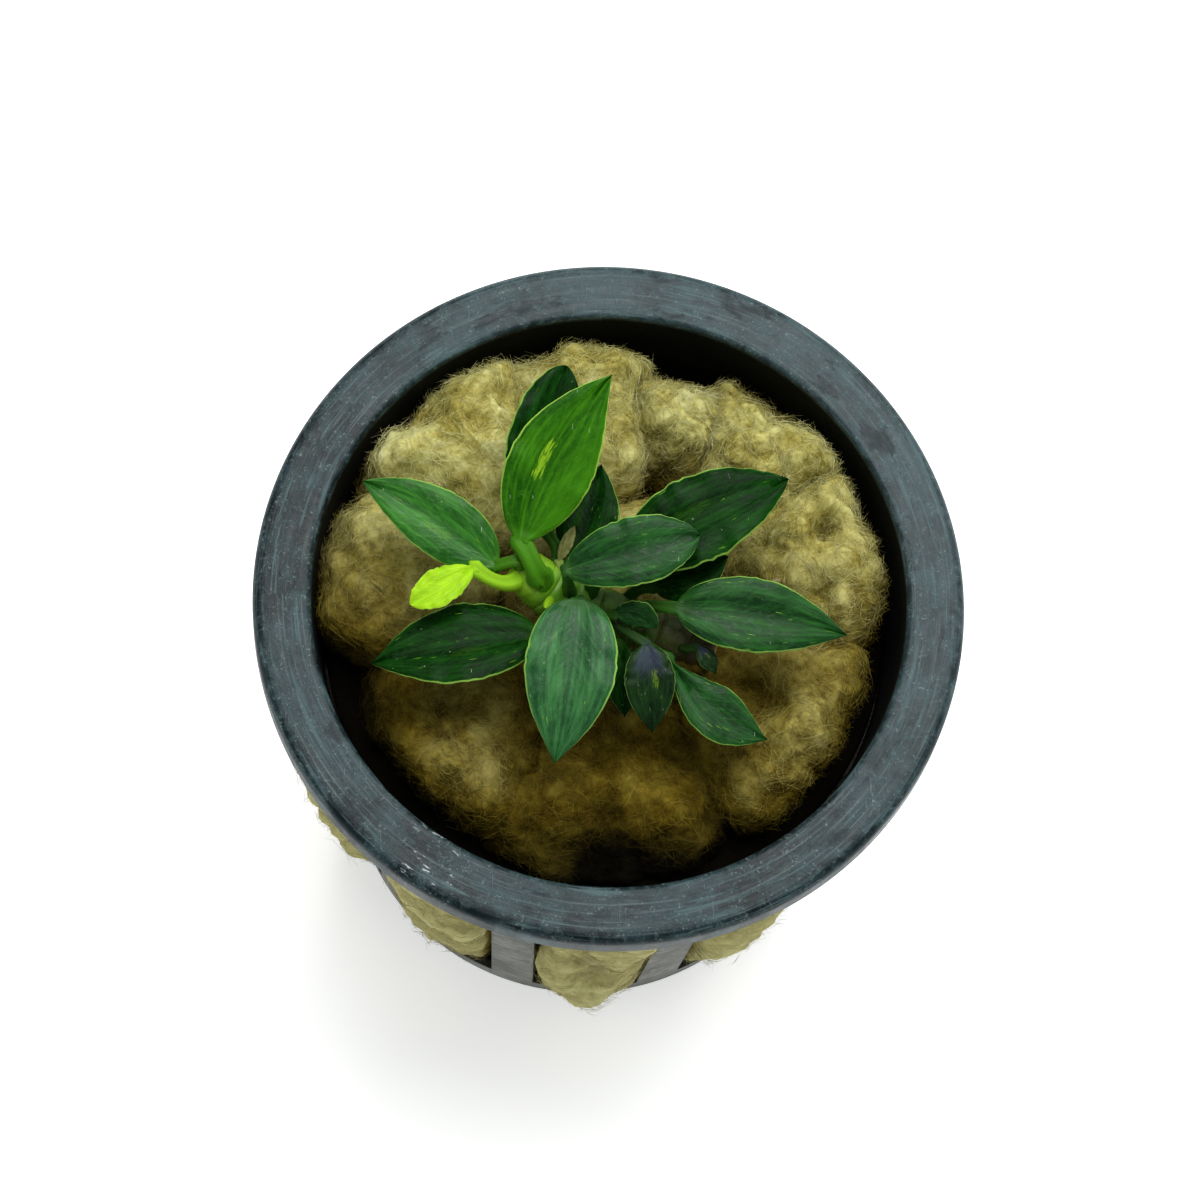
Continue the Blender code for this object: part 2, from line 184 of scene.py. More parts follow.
def finish_piece(piece, finish, slot, node, angle=None):
    """Gives a piece its material and smooth shading, hangs it on the root body and hides the CAD
    part it replaces.
    """
    piece.data.materials.append(finish)
    piece.data.shade_smooth()
    if angle is not None:
        piece.data.set_sharp_from_angle(angle=radians(angle))
    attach(piece, "root")
    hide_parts(node)


# ---- material helpers ----

class Field:
    """A value that a material's nodes give, to reckon with like a number."""

    def __init__(self, nodes, socket):
        self.nodes, self.socket = nodes, socket

    def __add__(self, other):
        return self.nodes.math("ADD", self, other)

    def __sub__(self, other):
        return self.nodes.math("SUBTRACT", self, other)

    def __mul__(self, other):
        return self.nodes.math("MULTIPLY", self, other)

    def step(self, low, high, start=0.0, end=1.0):
        """Maps low to high onto start to end, smoothly, and no further."""
        inputs = dict(enumerate((self, low, high, start, end)))
        return self.nodes.add("MapRange", inputs, interpolation_type="SMOOTHSTEP")


class Nodes:
    """Builds one procedural material, node by node."""

    def __init__(self, name):
        self.material = bpy.data.materials.new(name)
        self.material.use_nodes = True
        self.tree = self.material.node_tree
        self.shader = self.tree.nodes["Principled BSDF"]

    def add(self, kind, inputs, output=0, **settings):
        """Adds a node, with its inputs by name or number, and gives one output."""
        node = self.tree.nodes.new("ShaderNode" + kind)
        for name, value in settings.items():
            setattr(node, name, value)
        for key, value in inputs.items():
            self.put(node.inputs[key], value)
        return Field(self, node.outputs[output])

    def put(self, socket, value):
        """Links a field to a socket, or sets the socket to a plain value."""
        if isinstance(value, Field):
            self.tree.links.new(value.socket, socket)
        elif socket.type == "RGBA" and len(value) == 3:
            socket.default_value = (*value, 1.0)
        else:
            socket.default_value = value

    def value(self, name):
        """A number stored on each vertex."""
        return self.add("Attribute", {}, "Fac", attribute_name=name)

    def math(self, operation, first, second=0.0):
        return self.add("Math", {0: first, 1: second}, operation=operation)

    def place(self):
        """Where each point of the piece lies, in millimetres."""
        metres = self.add("TexCoord", {}, "Object")
        return self.add("VectorMath", {0: metres, 1: (1 / MM,) * 3}, operation="MULTIPLY")

    def split(self, vector):
        return [self.add("SeparateXYZ", {0: vector}, axis) for axis in range(3)]

    def join(self, x, y, z=0.0):
        return self.add("CombineXYZ", {0: x, 1: y, 2: z})

    def stretch(self, vector, turn, scale):
        """Places turned and scaled, so that noise over them runs in streaks."""
        return self.add("Mapping", {"Vector": vector, "Rotation": turn, "Scale": scale})

    def distance(self, vector, point):
        return self.add("VectorMath", {0: vector, 1: point}, "Value", operation="DISTANCE")

    def noise(self, vector, size, detail=3.0, rough=0.55, twist=0.0):
        """Noise from 0 to 1 with features of the given size, in the vector's units."""
        return self.add("TexNoise", {"Vector": vector, "Scale": 1.0 / size, "Detail": detail,
                                     "Roughness": rough, "Distortion": twist})

    def mix(self, share, first, second, blend="MIX"):
        inputs = {0: share, 6: first, 7: second}
        return self.add("Mix", inputs, 2, data_type="RGBA", blend_type=blend)

    def layers(self, color, *tints):
        """A colour with others laid over it in turn; tints are (share, colour)."""
        for share, tint in tints:
            color = self.mix(share, color, tint)
        return color

    def ramp(self, value, *stops):
        """A colour for each value; stops are (place, colour)."""
        made = self.add("ValToRGB", {"Fac": value})
        points = made.socket.node.color_ramp.elements
        while len(points) < len(stops):
            points.new(0.5)
        for point, (place, color) in zip(points, stops):
            point.position = place
            point.color = (*color, 1.0)
        return made

    def surface(self, color, rough, *bumps, **plain):
        """The finished material; bumps are (field, depth in millimetres, strength)."""
        self.put(self.shader.inputs["Base Color"], color)
        self.put(self.shader.inputs["Roughness"], rough)
        under = {}
        for field, depth, strength in bumps:
            inputs = {"Height": field, "Strength": strength, "Distance": depth * MM}
            under = {"Normal": self.add("Bump", {**inputs, **under})}
        if under:
            self.put(self.shader.inputs["Normal"], under["Normal"])
        for name, value in plain.items():
            self.shader.inputs[name.replace("_", " ")].default_value = value
        return self.material


# ---- net pot ----

def corner(radius, height, size, start, steps):
    """A quarter circle about a centre, turning back from a start angle."""
    turns = [start - pi / 2 * i / steps for i in range(1, steps + 1)]
    return [(radius + size * cos(t), height + size * sin(t)) for t in turns]


def pot_profile():
    """Rows (radius, height, part) along the floor, up inside, over the rim and back.

    The part says what sets the columns there: windows in the wall, slots in the floor.
    """
    inner = WALL_TOP_RADIUS - WALL
    foot = wall_radius(FLOOR_THICKNESS) - WALL
    lip = RIM_RADIUS - WALL
    low, under = POT_HEIGHT - LIP_DEPTH, POT_HEIGHT - RIM_THICKNESS
    window = list(np.linspace(WINDOW_BOTTOM, WINDOW_TOP, 13))
    floor = [(r, FLOOR_THICKNESS) for r in (0, 3, 7.5, 10, 13, 16, 17.5)]
    floor.append((foot - 0.8, FLOOR_THICKNESS))
    wall = [(foot - 0.25, FLOOR_THICKNESS + 0.05), (foot, FLOOR_THICKNESS + 0.35)]
    wall += [(wall_radius(z) - WALL, z) for z in window + [41, 44, 47]]
    wall.append((inner, POT_HEIGHT - 0.55))
    wall += corner(inner + INNER_ROUND, POT_HEIGHT - INNER_ROUND, INNER_ROUND, pi, 3)
    wall += [(r, POT_HEIGHT) for r in (24.6, 25.4, 26.2, 26.9)]
    wall += corner(RIM_RADIUS - RIM_ROUND, POT_HEIGHT - RIM_ROUND, RIM_ROUND, pi / 2, 6)
    wall += [(RIM_RADIUS, low + 0.9), (RIM_RADIUS, low + 0.25),
             (RIM_RADIUS - 0.25, low), (RIM_RADIUS - 0.8, low),
             (lip, low + 0.2), (lip, under), (25.6, under),
             (WALL_TOP_RADIUS + 0.4, under), (WALL_TOP_RADIUS, under - 0.4)]
    down = [46, 42] + window[::-1] + [1.5, 0.4]
    wall += [(wall_radius(z), z) for z in down] + [(WALL_BASE_RADIUS - 0.4, 0.0)]
    base = [(r, 0.0) for r in (18.2, 17.5, 16, 13, 10, 7.5, 3, 0.0)]
    parts = (("floor", floor), ("wall", wall), ("floor", base))
    return [(radius, height, part) for part, rows in parts for radius, height in rows]


SLAT_COLUMNS = 5
SIDE_COLUMNS = 6
SLOT_COLUMNS = 3
PITCH_COLUMNS = SLAT_COLUMNS + 2 * SIDE_COLUMNS + SLOT_COLUMNS


def column_angles(radius, part):
    """The angles of one pitch's columns: across a slat, then across a window."""
    # near the axis the slats and slots narrow, so that they never meet
    slat = min(SLAT_WIDTH / 2 / max(radius, 4), PITCH * 0.3)
    if part == "floor":
        slot = asin(min(SLOT_WIDTH / 2 / max(radius, 3), 0.4))
    else:
        slot = (PITCH / 2 - slat) * SLOT_COLUMNS / (2 * SIDE_COLUMNS + SLOT_COLUMNS)
    marks = [-slat, slat, PITCH / 2 - slot, PITCH / 2 + slot, PITCH - slat]
    counts = (SLAT_COLUMNS, SIDE_COLUMNS, SLOT_COLUMNS, SIDE_COLUMNS)
    return np.concatenate([np.linspace(start, end, count, endpoint=False)
                           for start, end, count in zip(marks, marks[1:], counts)])


def net_pot():
    """One moulded pot: a turned section whose windows and slots are left open."""
    profile = pot_profile()
    points = [(radius * cos(turn), radius * sin(turn), height)
              for radius, height, part in profile for pitch in range(WINDOWS)
              for turn in column_angles(radius, part) + pitch * PITCH]
    columns = PITCH_COLUMNS * WINDOWS
    slot = SLAT_COLUMNS + SIDE_COLUMNS

    def rows_open(part, axis, start, end):
        near = [row[2] == part and start - WELD <= row[axis] <= end + WELD for row in profile]
        return [row for row in range(len(profile) - 1) if near[row] and near[row + 1]]

    openings = (
        (rows_open("wall", 1, WINDOW_BOTTOM, WINDOW_TOP), SLAT_COLUMNS, PITCH_COLUMNS),
        (rows_open("floor", 0, SLOT_START, SLOT_END), slot, slot + SLOT_COLUMNS))

    def solid(row, column):
        return not any(row in rows and first <= column % PITCH_COLUMNS < last
                       for rows, first, last in openings)

    faces = grid_faces(len(profile), columns, solid)

    def face(*corners):
        faces.append([row * columns + column for row, column in corners])

    for rows, first, last in openings:
        half = len(rows) // 2
        inner = rows[:half] + [rows[half - 1] + 1]
        outer = (rows[half:] + [rows[-1] + 1])[::-1]
        for pitch in range(WINDOWS):
            at = [(pitch * PITCH_COLUMNS + c) % columns for c in range(first, last + 1)]
            for a, b, c, d in zip(inner, inner[1:], outer[1:], outer):
                face(*((row, at[0]) for row in (a, b, c, d)))
                face(*((row, at[-1]) for row in (d, c, b, a)))
            for left, right in zip(at, at[1:]):
                for low, high in ((outer[0], inner[0]), (inner[-1], outer[-1])):
                    face((low, left), (low, right), (high, right), (high, left))
    pot = mesh_from("pot", points, faces)
    weld(pot)
    soften = pot.modifiers.new("edges", "BEVEL")
    soften.width = 0.14 * MM
    soften.segments = 2
    soften.limit_method = "ANGLE"
    soften.angle_limit = radians(50)
    finish_piece(pot, pot_material(), "pot_plastic", "net_pot", angle=35)


# Where pale streaks on the rim paint glints of light on wet plastic, in millimetres
PAINTED_GLINT_SPOT = (-14, -21.5, 50)


def pot_material():
    """Black moulded plastic: turning marks and scuffs on the rim, grime, faint dust, painted glints
    on the rim and painted shade inside the wall.
    """
    m = Nodes("pot_plastic")
    place = m.place()
    x, y, z = m.split(place)
    radius = m.math("SQRT", x * x + y * y)
    angle = m.math("ARCTAN2", y, x)

    def arcs(width, per_radian, layer, detail, rough):
        """Noise drawn out round the axis, in bands of a width in millimetres."""
        bands = m.join(radius * (1 / width), angle * per_radian, layer)
        return m.noise(bands, 1.0, detail, rough)

    turned = arcs(0.22, 2.2, 0.0, 4, 0.6)
    smears = arcs(0.55, 3.5, 3.0, 4, 0.65)
    wet = arcs(2.4, 4.0, 11.0, 5, 0.65)
    glint_streaks = arcs(0.35, 18.0, 8.0, 3, 0.6)
    patches = m.noise(place, 4, 5, 0.65)
    grime = m.noise(place, 1.1, 5.0, 0.7, 0.8)
    speckle = m.noise(place, 0.22, 3, 0.7)
    scratches = m.noise(m.stretch(place, (0.3, 0.2, 0.7), (1.0, 0.08, 1.0)), 0.25, 2.0, 0.5)
    scuff = scratches.step(0.63, 0.72) * patches.step(0.46, 0.6)
    dust = speckle.step(0.56, 0.68) * grime.step(0.42, 0.6)
    haze = (y * 0.6 + x * 0.5).step(-8, 18) * grime.step(0.2, 0.6, 0.3, 0.8)
    mid_wall = z * WALL_SLOPE + (WALL_BASE_RADIUS - WALL / 2)
    # painted shade: below the rim, the inside of the wall is made near black, and rougher
    inner = (radius - mid_wall).step(0.0, -0.3) * z.step(49.75, 49.2)
    # painted highlight: pale streaks near one spot on the rim stand in for glints of light
    painted_glint = m.distance(place, PAINTED_GLINT_SPOT).step(4, 1.5) * glint_streaks.step(0.60, 0.66)
    color = m.layers(
        m.mix(patches.step(0.4, 0.62), (0.002, 0.008, 0.010), (0.020, 0.042, 0.047)),
        (grime.step(0.44, 0.66) * 0.5, (0.066, 0.108, 0.112)),
        (smears.step(0.52, 0.68) * 0.75, (0.092, 0.146, 0.150)),
        (turned.step(0.53, 0.7) * 0.5, (0.14, 0.20, 0.205)),
        (scuff * 0.3, (0.17, 0.21, 0.21)),
        (dust * 0.75, (0.22, 0.26, 0.25)),
        (haze * 0.36, (0.10, 0.150, 0.158)),
        (wet.step(0.56, 0.64) * 0.75, (0.002, 0.010, 0.013)),
        (z.step(45, 41) * 0.75, (0.105, 0.107, 0.082)),
        (inner * 0.95, (0.002, 0.002, 0.0015)),
        (painted_glint * 0.7, (0.55, 0.62, 0.64)))
    rough = (smears * 0.5 + grime * 0.5).step(0.35, 0.65, 0.30, 0.55) + inner * 0.35
    return m.surface(color, rough, (turned, 0.05, 0.5), (grime, 0.12, 0.5), (speckle, 0.03, 0.5),
                     (scuff, 0.03, 0.5), Specular_IOR_Level=0.3)


# ---- rock wool ----

# The torn wads, in millimetres: the middle and the top of each, and how far it reaches
# from the pot's axis and from its own middle
WAD_BASE = 41.3
WAD_OVERLAP = 1.3
WAD_ROWS = 40
WAD_COLUMNS = 108
Wad = namedtuple("Wad", "name x y top reach spread")
WADS = [Wad("wool_" + name, *sizes) for name, *sizes in (
    ("front", -0.7, -13.9, 46.4, 20.6, 11.0),
    ("left_front", -12.7, -9.9, 47.4, 20.3, 8.6),
    ("left", -16.2, 3.1, 49.8, 22.2, 7.4),
    ("back_left", -11.2, 13.1, 51.2, 22.5, 9.6),
    ("back", -1.7, 16.1, 51.0, 22.5, 7.4),
    ("roll", 5.8, 15.9, 49.0, 20.3, 5.0),
    ("back_right", 12.4, 13.8, 49.2, 21.9, 7.4),
    ("right", 17.0, 4.6, 50.2, 22.0, 7.6),
    ("right_front", 14.3, -8.4, 48.6, 21.0, 9.0),
    ("middle", 0.8, 1.1, 48.6, 22.3, 12.0),
)]
# Tufts that stand up from the wads, and hollows between them: x, y, height, size
TUFTS = [
    (-9.1, 19.8, 1.0, 1.9), (-5.8, 20.2, -0.9, 0.9), (-2.6, 20.0, 0.9, 2.0),
    (1.2, 19.4, 1.0, 0.9), (-11.8, 16.6, 0.5, 1.6), (-12.9, 13.8, 0.7, 1.6),
    (-16.2, 14.6, -1.6, 1.6), (-16.6, 11.8, 0.9, 0.9), (-15.8, 8.6, -1.2, 1.3),
    (-20.0, 6.0, 0.6, 1.4), (-18.4, 2.4, 0.5, 2.4), (-10.2, 7.6, -0.8, 1.8),
    (7.4, 20.6, -3.5, 1.6), (9.4, 18.5, 0.9, 0.8), (11.6, 19.2, 0.7, 0.7),
    (10.5, 17.9, -1.0, 0.45), (12.4, 17.6, -0.8, 0.45), (13.4, 16.6, -0.9, 0.9),
    (10.1, 13.0, 0.9, 1.1), (16.9, 11.0, 1.5, 2.3), (13.8, 11.2, -0.6, 0.7),
    (17.1, 6.0, -2.2, 0.7), (14.5, 6.2, 0.7, 1.0), (19.2, 3.0, 0.8, 1.4),
    (16.6, 0.8, -0.9, 0.8), (19.2, -2.8, 0.6, 1.3), (12.1, 3.0, 0.5, 1.4),
    (11.2, -6.4, -1.8, 1.6), (3.0, 13.8, -1.1, 0.9), (4.0, 10.2, 0.5, 1.2),
    (-5.2, -17.0, 0.7, 2.2), (3.2, -18.0, 0.3, 2.2), (-9.2, -14.0, 0.7, 1.4),
    (-13.4, -11.4, 0.5, 1.8), (-17.2, -6.0, -0.7, 1.5), (14.9, -10.0, 0.7, 1.7),
    (8.4, -14.4, -0.6, 1.2), (-0.8, -11.6, -0.5, 1.4),
]
TUFT_LIFT = 1.5


def softly_least(values, soft=1.6, far=60.0):
    """The least of several arrays, with the corners between them rounded."""
    stacked = np.stack([np.minimum(v, far) for v in values])
    return -np.log(np.exp(-soft * stacked).sum(axis=0)) / soft


def wad_reach(wad, angles):
    """How far a wad reaches at each angle: to the pot, or just past a neighbour."""
    way = np.stack([np.cos(angles), np.sin(angles)], -1)
    middle = np.array([wad.x, wad.y])
    along = way @ middle
    limits = [-along + np.sqrt(along ** 2 - middle @ middle + wad.reach ** 2),
              np.full(len(angles), wad.spread)]
    for other in WADS:
        between = np.array([other.x, other.y]) - middle
        length = hypot(*between)
        if length > 0:
            closing = np.maximum(way @ between / length, 1e-6)
            limits.append((length / 2 + WAD_OVERLAP) / closing)
    return softly_least(limits)


def tuft_height(x, y):
    """How far the tufts and hollows lift or lower the wool at a place."""
    return sum(TUFT_LIFT * height * np.exp(-((x - tx) ** 2 + (y - ty) ** 2) / (2 * size * size))
               for tx, ty, height, size in TUFTS)


def front_sink(x, y):
    """How far the wool falls away towards the pot's front wall."""
    return 4.5 * ease(np.clip((-y - 0.25 * np.abs(x) - 13.0) / 8.0, 0, 1))


def grid_sides(grid):
    """The steps from row to row and from column to column, and the unit normals."""
    along = np.gradient(grid, axis=0)
    around = (np.roll(grid, -1, axis=1) - np.roll(grid, 1, axis=1)) / 2
    return along, around, unit(np.cross(along, around))


def roughen(grid, seed, strength=1.0):
    """Pushes a wool surface in and out; also returns how high each point stands."""
    normal = grid_sides(grid)[2]
    broad = layered(grid, 4.2, seed, 2)
    crease = 1 - 2 * np.abs(noise(grid + 2.0 * noise_vector(grid, 5.0, seed + 5), 3.0, seed + 7))
    small = layered(grid, 1.5, seed + 20, 3, 0.6)
    push = 0.6 * broad + 0.35 * crease + 0.36 * small
    return grid + normal * (push * strength)[..., None], push


def inside_wall(grid, gap=0.25):
    """Keeps points of a grid within the pot's inner wall."""
    limit = wall_radius(grid[..., 2]) - WALL - gap
    radius = np.hypot(grid[..., 0], grid[..., 1])
    grid[..., :2] *= np.minimum(1.0, limit / np.maximum(radius, 1e-6))[..., None]
    return grid


def wad_surface(wad, seed):
    """A wad's domed surface as a grid from its crown to its foot."""
    angles = np.linspace(0, 2 * pi, WAD_COLUMNS, endpoint=False)
    turn = np.linspace(0.02, 1, WAD_ROWS)[:, None] * pi / 2
    share = wad_reach(wad, angles)[None, :] * np.sin(turn) ** 0.74
    level = np.cos(turn) ** 0.7
    x = wad.x + share * np.cos(angles)
    y = wad.y + share * np.sin(angles)
    z = WAD_BASE + (wad.top - WAD_BASE + tuft_height(x, y) - front_sink(x, y)) * level
    grid, push = roughen(np.stack([x, y, z], -1), seed)
    grid[..., 2] = np.maximum(grid[..., 2], WAD_BASE)
    return inside_wall(grid), push


def sample(grid, row, column):
    """Values between the points of a grid whose rows close on themselves."""
    columns = grid.shape[1]
    row = np.clip(row, 0, len(grid) - 1.001)
    low, left = np.floor(row).astype(int), np.floor(column).astype(int)
    up, over = (row - low)[..., None], (column - left)[..., None]
    left, right = left % columns, (left + 1) % columns
    below = grid[low, left] * (1 - over) + grid[low, right] * over
    above = grid[low + 1, left] * (1 - over) + grid[low + 1, right] * over
    return below * (1 - up) + above * up


def clump(points):
    """How much the wool's threads bunch up at each place, from about -1 to 1."""
    return np.clip(0.9 * layered(points, 1.5, 501, 3, 0.75), -1, 1)


def fibre_paths(grid, lengths, lift, seed, rng, points, last):
    """Curved threads that follow a wool surface in bunches, lying on it or standing off."""
    rows, columns = grid.shape[:2]
    count = len(lengths)
    along, around, normal = grid_sides(grid)
    area = np.linalg.norm(np.cross(around, along), axis=-1)[:last]
    cell = rng.choice(area.size, count, p=(area / area.sum()).ravel())
    row = cell // columns + rng.random(count)
    column = cell % columns + rng.random(count)
    step = (lengths / (points - 1))[:, None]
    bed = rng.uniform(0.0, 0.12, count)
    swirl = rng.normal(0, 0.55, (count, 3))
    path = []
    for index in range(points):
        here, face, a, b = (sample(values, row, column) for values in (grid, normal, along, around))
        rise = bed + 0.2 * np.clip(clump(here) + 0.5, 0, 1.5) + lift * (index / (points - 1)) ** 1.5
        path.append(here + face * rise[:, None])
        way = noise_vector(here, 3.2, seed) + 0.5 * noise_vector(here, 1.1, seed + 31) + swirl
        way = unit(way - face * np.sum(way * face, -1, keepdims=True)) * step
        # the same step in rows and columns, and never far enough to leap over the wool
        aa, ab, bb, wa, wb = (np.sum(p * q, -1) for p, q in (
            (a, a), (a, b), (b, b), (way, a), (way, b)))
        under = np.maximum(aa * bb - ab * ab, 1e-6)
        row = np.clip(row + np.clip((wa * bb - wb * ab) / under, -6, 6), 0, rows - 1.01)
        column = column + np.clip((wb * aa - wa * ab) / under, -9, 9)
    return np.stack(path, 1)


def threads(paths, width):
    """Closed three-sided tubes along paths: points and faces, ends tapered."""
    count, steps = paths.shape[:2]
    way = unit(np.gradient(paths, axis=1))
    side = unit(np.cross(way, np.array([0.31, 0.17, 0.93])))
    over = np.cross(way, side)
    taper = np.sin(np.linspace(0.22, pi - 0.22, steps)) ** 0.6
    half = (width[:, None] / 2 * taper)[..., None]
    turns = [2 * pi * third / 3 for third in range(3)]
    corners = [paths + (side * cos(turn) + over * sin(turn)) * half for turn in turns]
    base = (np.arange(count) * steps * 3)[:, None]
    a = np.arange(steps * 3 - 3)
    b = a - a % 3 + (a + 1) % 3
    quads = base[..., None] + np.stack([a, b, b + 3, a + 3], -1)
    end = (steps - 1) * 3
    caps = [base + np.array([2, 1, 0]), base + np.array([end, end + 1, end + 2])]
    return np.stack(corners, 2).reshape(-1, 3), quads.reshape(-1, 4), np.concatenate(caps)


def damp_and_shade_wads(points):
    """How dark and brown the wool is painted, from 0 to 1: lower down and towards the front and the
    front left it is darker, partly from damp and partly as painted shade.
    """
    height = points[:, 2] + 1.1 * noise(points, 6.0, 77) + 0.035 * (points[:, 1] + 6)
    low = np.clip((49.6 - height) / 8.0, 0, 1) ** 1.25
    front = np.clip((9 - points[:, 1]) / 14, 0, 1)
    side = np.clip((-points[:, 0] - 12) / 6, 0, 1) * np.clip((8 - points[:, 1]) / 8, 0, 1)
    return 1 - (1 - low) * (1 - 0.36 * front - 0.2 * side)


def damp_and_shade_core(points):
    """The same for the core: painted shade makes it dark at its top and wherever the pot's wall
    covers it, with a little damp besides.
    """
    top = np.clip((points[:, 2] - 37.6) / 0.8, 0, 1)
    wall = wall_radius(points[:, 2])
    within = np.clip((wall - 0.2 - np.hypot(points[:, 0], points[:, 1])) / 0.4, 0, 1)
    return np.clip(0.12 + 0.15 * noise(points, 5.0, 78) + top + within, 0, 1)


# Long and short threads: points in each, lengths, widths, the share of them that
# stands off the wool and how far, and how pale they are
THREADS = [
    (4, (1.6, 3.6), (0.022, 0.045), 0.3, (0.2, 0.9), 0.62),
    (3, (0.5, 1.3), (0.022, 0.042), 0.7, (0.15, 0.7), 0.47),
]
# The felt under the threads is given a darker tone than the threads: painted shade of the deeper
# layer
SHADED_FELT_TONE = 0.33


def fleece(name, grid, push, seed, bottom, damp, counts, last):
    """A wool piece: its surface, closed at both ends, and the threads over it."""
    rng = np.random.default_rng(seed)
    rows, columns = grid.shape[:2]
    body = grid.reshape(-1, 3)
    middle = grid.mean(axis=1)
    points = [body, [middle[0], (*middle[-1][:2], bottom)]]
    quads = [np.array(grid_faces(rows, columns))[:, ::-1]]
    triangles = [np.array(end_fans(rows, columns))[:, ::-1]]
    # the felt is paler where the threads bunch up high: painted light
    tones = [SHADED_FELT_TONE + 0.16 * clump(body), [SHADED_FELT_TONE] * 2]
    # crest, how far each point is pushed out, lightens the raised wool and darkens its hollows in
    # the material: painted light and shade
    crests = [push.ravel(), [0, 0]]
    total = len(body) + 2
    for count, (steps, length, width, loose_share, off, pale) in zip(counts, THREADS):
        lengths = rng.uniform(*length, count)
        loose = rng.random(count) < loose_share
        lift = np.where(loose, rng.uniform(*off, count), 0.0)
        paths = fibre_paths(grid, lengths, lift, seed + steps, rng, steps, last)
        strands, strand_quads, caps = threads(paths, rng.uniform(*width, count))
        begin = paths[:, 0]
        # threads that bunch up high or stand off are paler, painted light, beside a random tone
        tone = pale + 0.18 * clump(begin) + rng.normal(0, 0.12, count) + 0.06 * loose
        crest = layered(begin, 4.2, seed, 2) * 0.55
        points.append(strands)
        quads.append(strand_quads + total)
        triangles.append(caps + total)
        tones.append(np.repeat(tone, steps * 3))
        crests.append(np.repeat(crest, steps * 3))
        total += len(strands)
    points = np.concatenate(points)
    piece = mesh_from(name, points, np.concatenate(quads), np.concatenate(triangles))
    set_values(piece, tone=np.concatenate(tones), crest=np.concatenate(crests), damp=damp(points))
    return piece


def wool_material():
    """Golden rock wool: paler where it stands up, as painted light, and browner and darker where it
    sinks, from damp and painted shade.
    """
    m = Nodes("rock_wool")
    place = m.place()
    damp = m.value("damp")
    blotch = m.noise(place, 5)
    felt = m.noise(place, 1.1, 6.0, 0.68, 1.6)
    grain = m.noise(place, 0.2, 3, 0.7)
    # crest paints light on the raised wool and shade in its hollows
    key = m.value("tone") + m.value("crest") * 0.16
    key = key + (blotch - 0.5) * 0.5 + (felt - 0.5) * 0.75 + (grain - 0.5) * 0.25
    color = m.ramp(key, (0.0, (0.14, 0.105, 0.015)), (0.25, (0.38, 0.33, 0.085)),
                   (0.5, (0.63, 0.60, 0.245)), (0.78, (0.76, 0.75, 0.41)),
                   (1.0, (0.86, 0.86, 0.60)))
    # damp and painted shade darken the wool towards brown and near black
    damp_and_shade_tint = m.ramp(damp, (0.0, (1.0, 1.0, 1.0)), (0.6, (0.42, 0.335, 0.105)),
                   (1.0, (0.010, 0.007, 0.002)))
    faded = m.split(place)[2].step(40, 36, 0.0, 0.4) * damp.step(0.6, 0.3)
    color = m.layers(m.mix(1.0, color, damp_and_shade_tint, "MULTIPLY"), (faded, (0.36, 0.34, 0.22)))
    return m.surface(color, 0.85, (felt, 0.25, 0.35), (grain, 0.06, 0.5), Specular_IOR_Level=0.15)


def wool_wads(finish):
    """The torn wads on top, each with its own threads."""
    for index, wad in enumerate(WADS):
        seed = 100 + 40 * index
        piece = fleece(wad.name.replace("wool", "fleece"), *wad_surface(wad, seed), seed, WAD_BASE,
                       damp_and_shade_wads, (900, 3200), WAD_ROWS - 5)
        finish_piece(piece, finish, "rock_wool", wad.name)


CORE_WINDOW_COLUMNS = 20
CORE_SLAT_COLUMNS = 4
CORE_ROWS = 60
CORE_TOP_ROWS = 7
# How far the core swells out of a window, in millimetres, and each window's share
BULGE_BASE = 1.0
BULGE = 2.9
BULGE_SHARES = (0.75, 0.95, 0.65, 0.85, 0.7, 1.4, 0.8, 0.9, 0.8, 0.7)


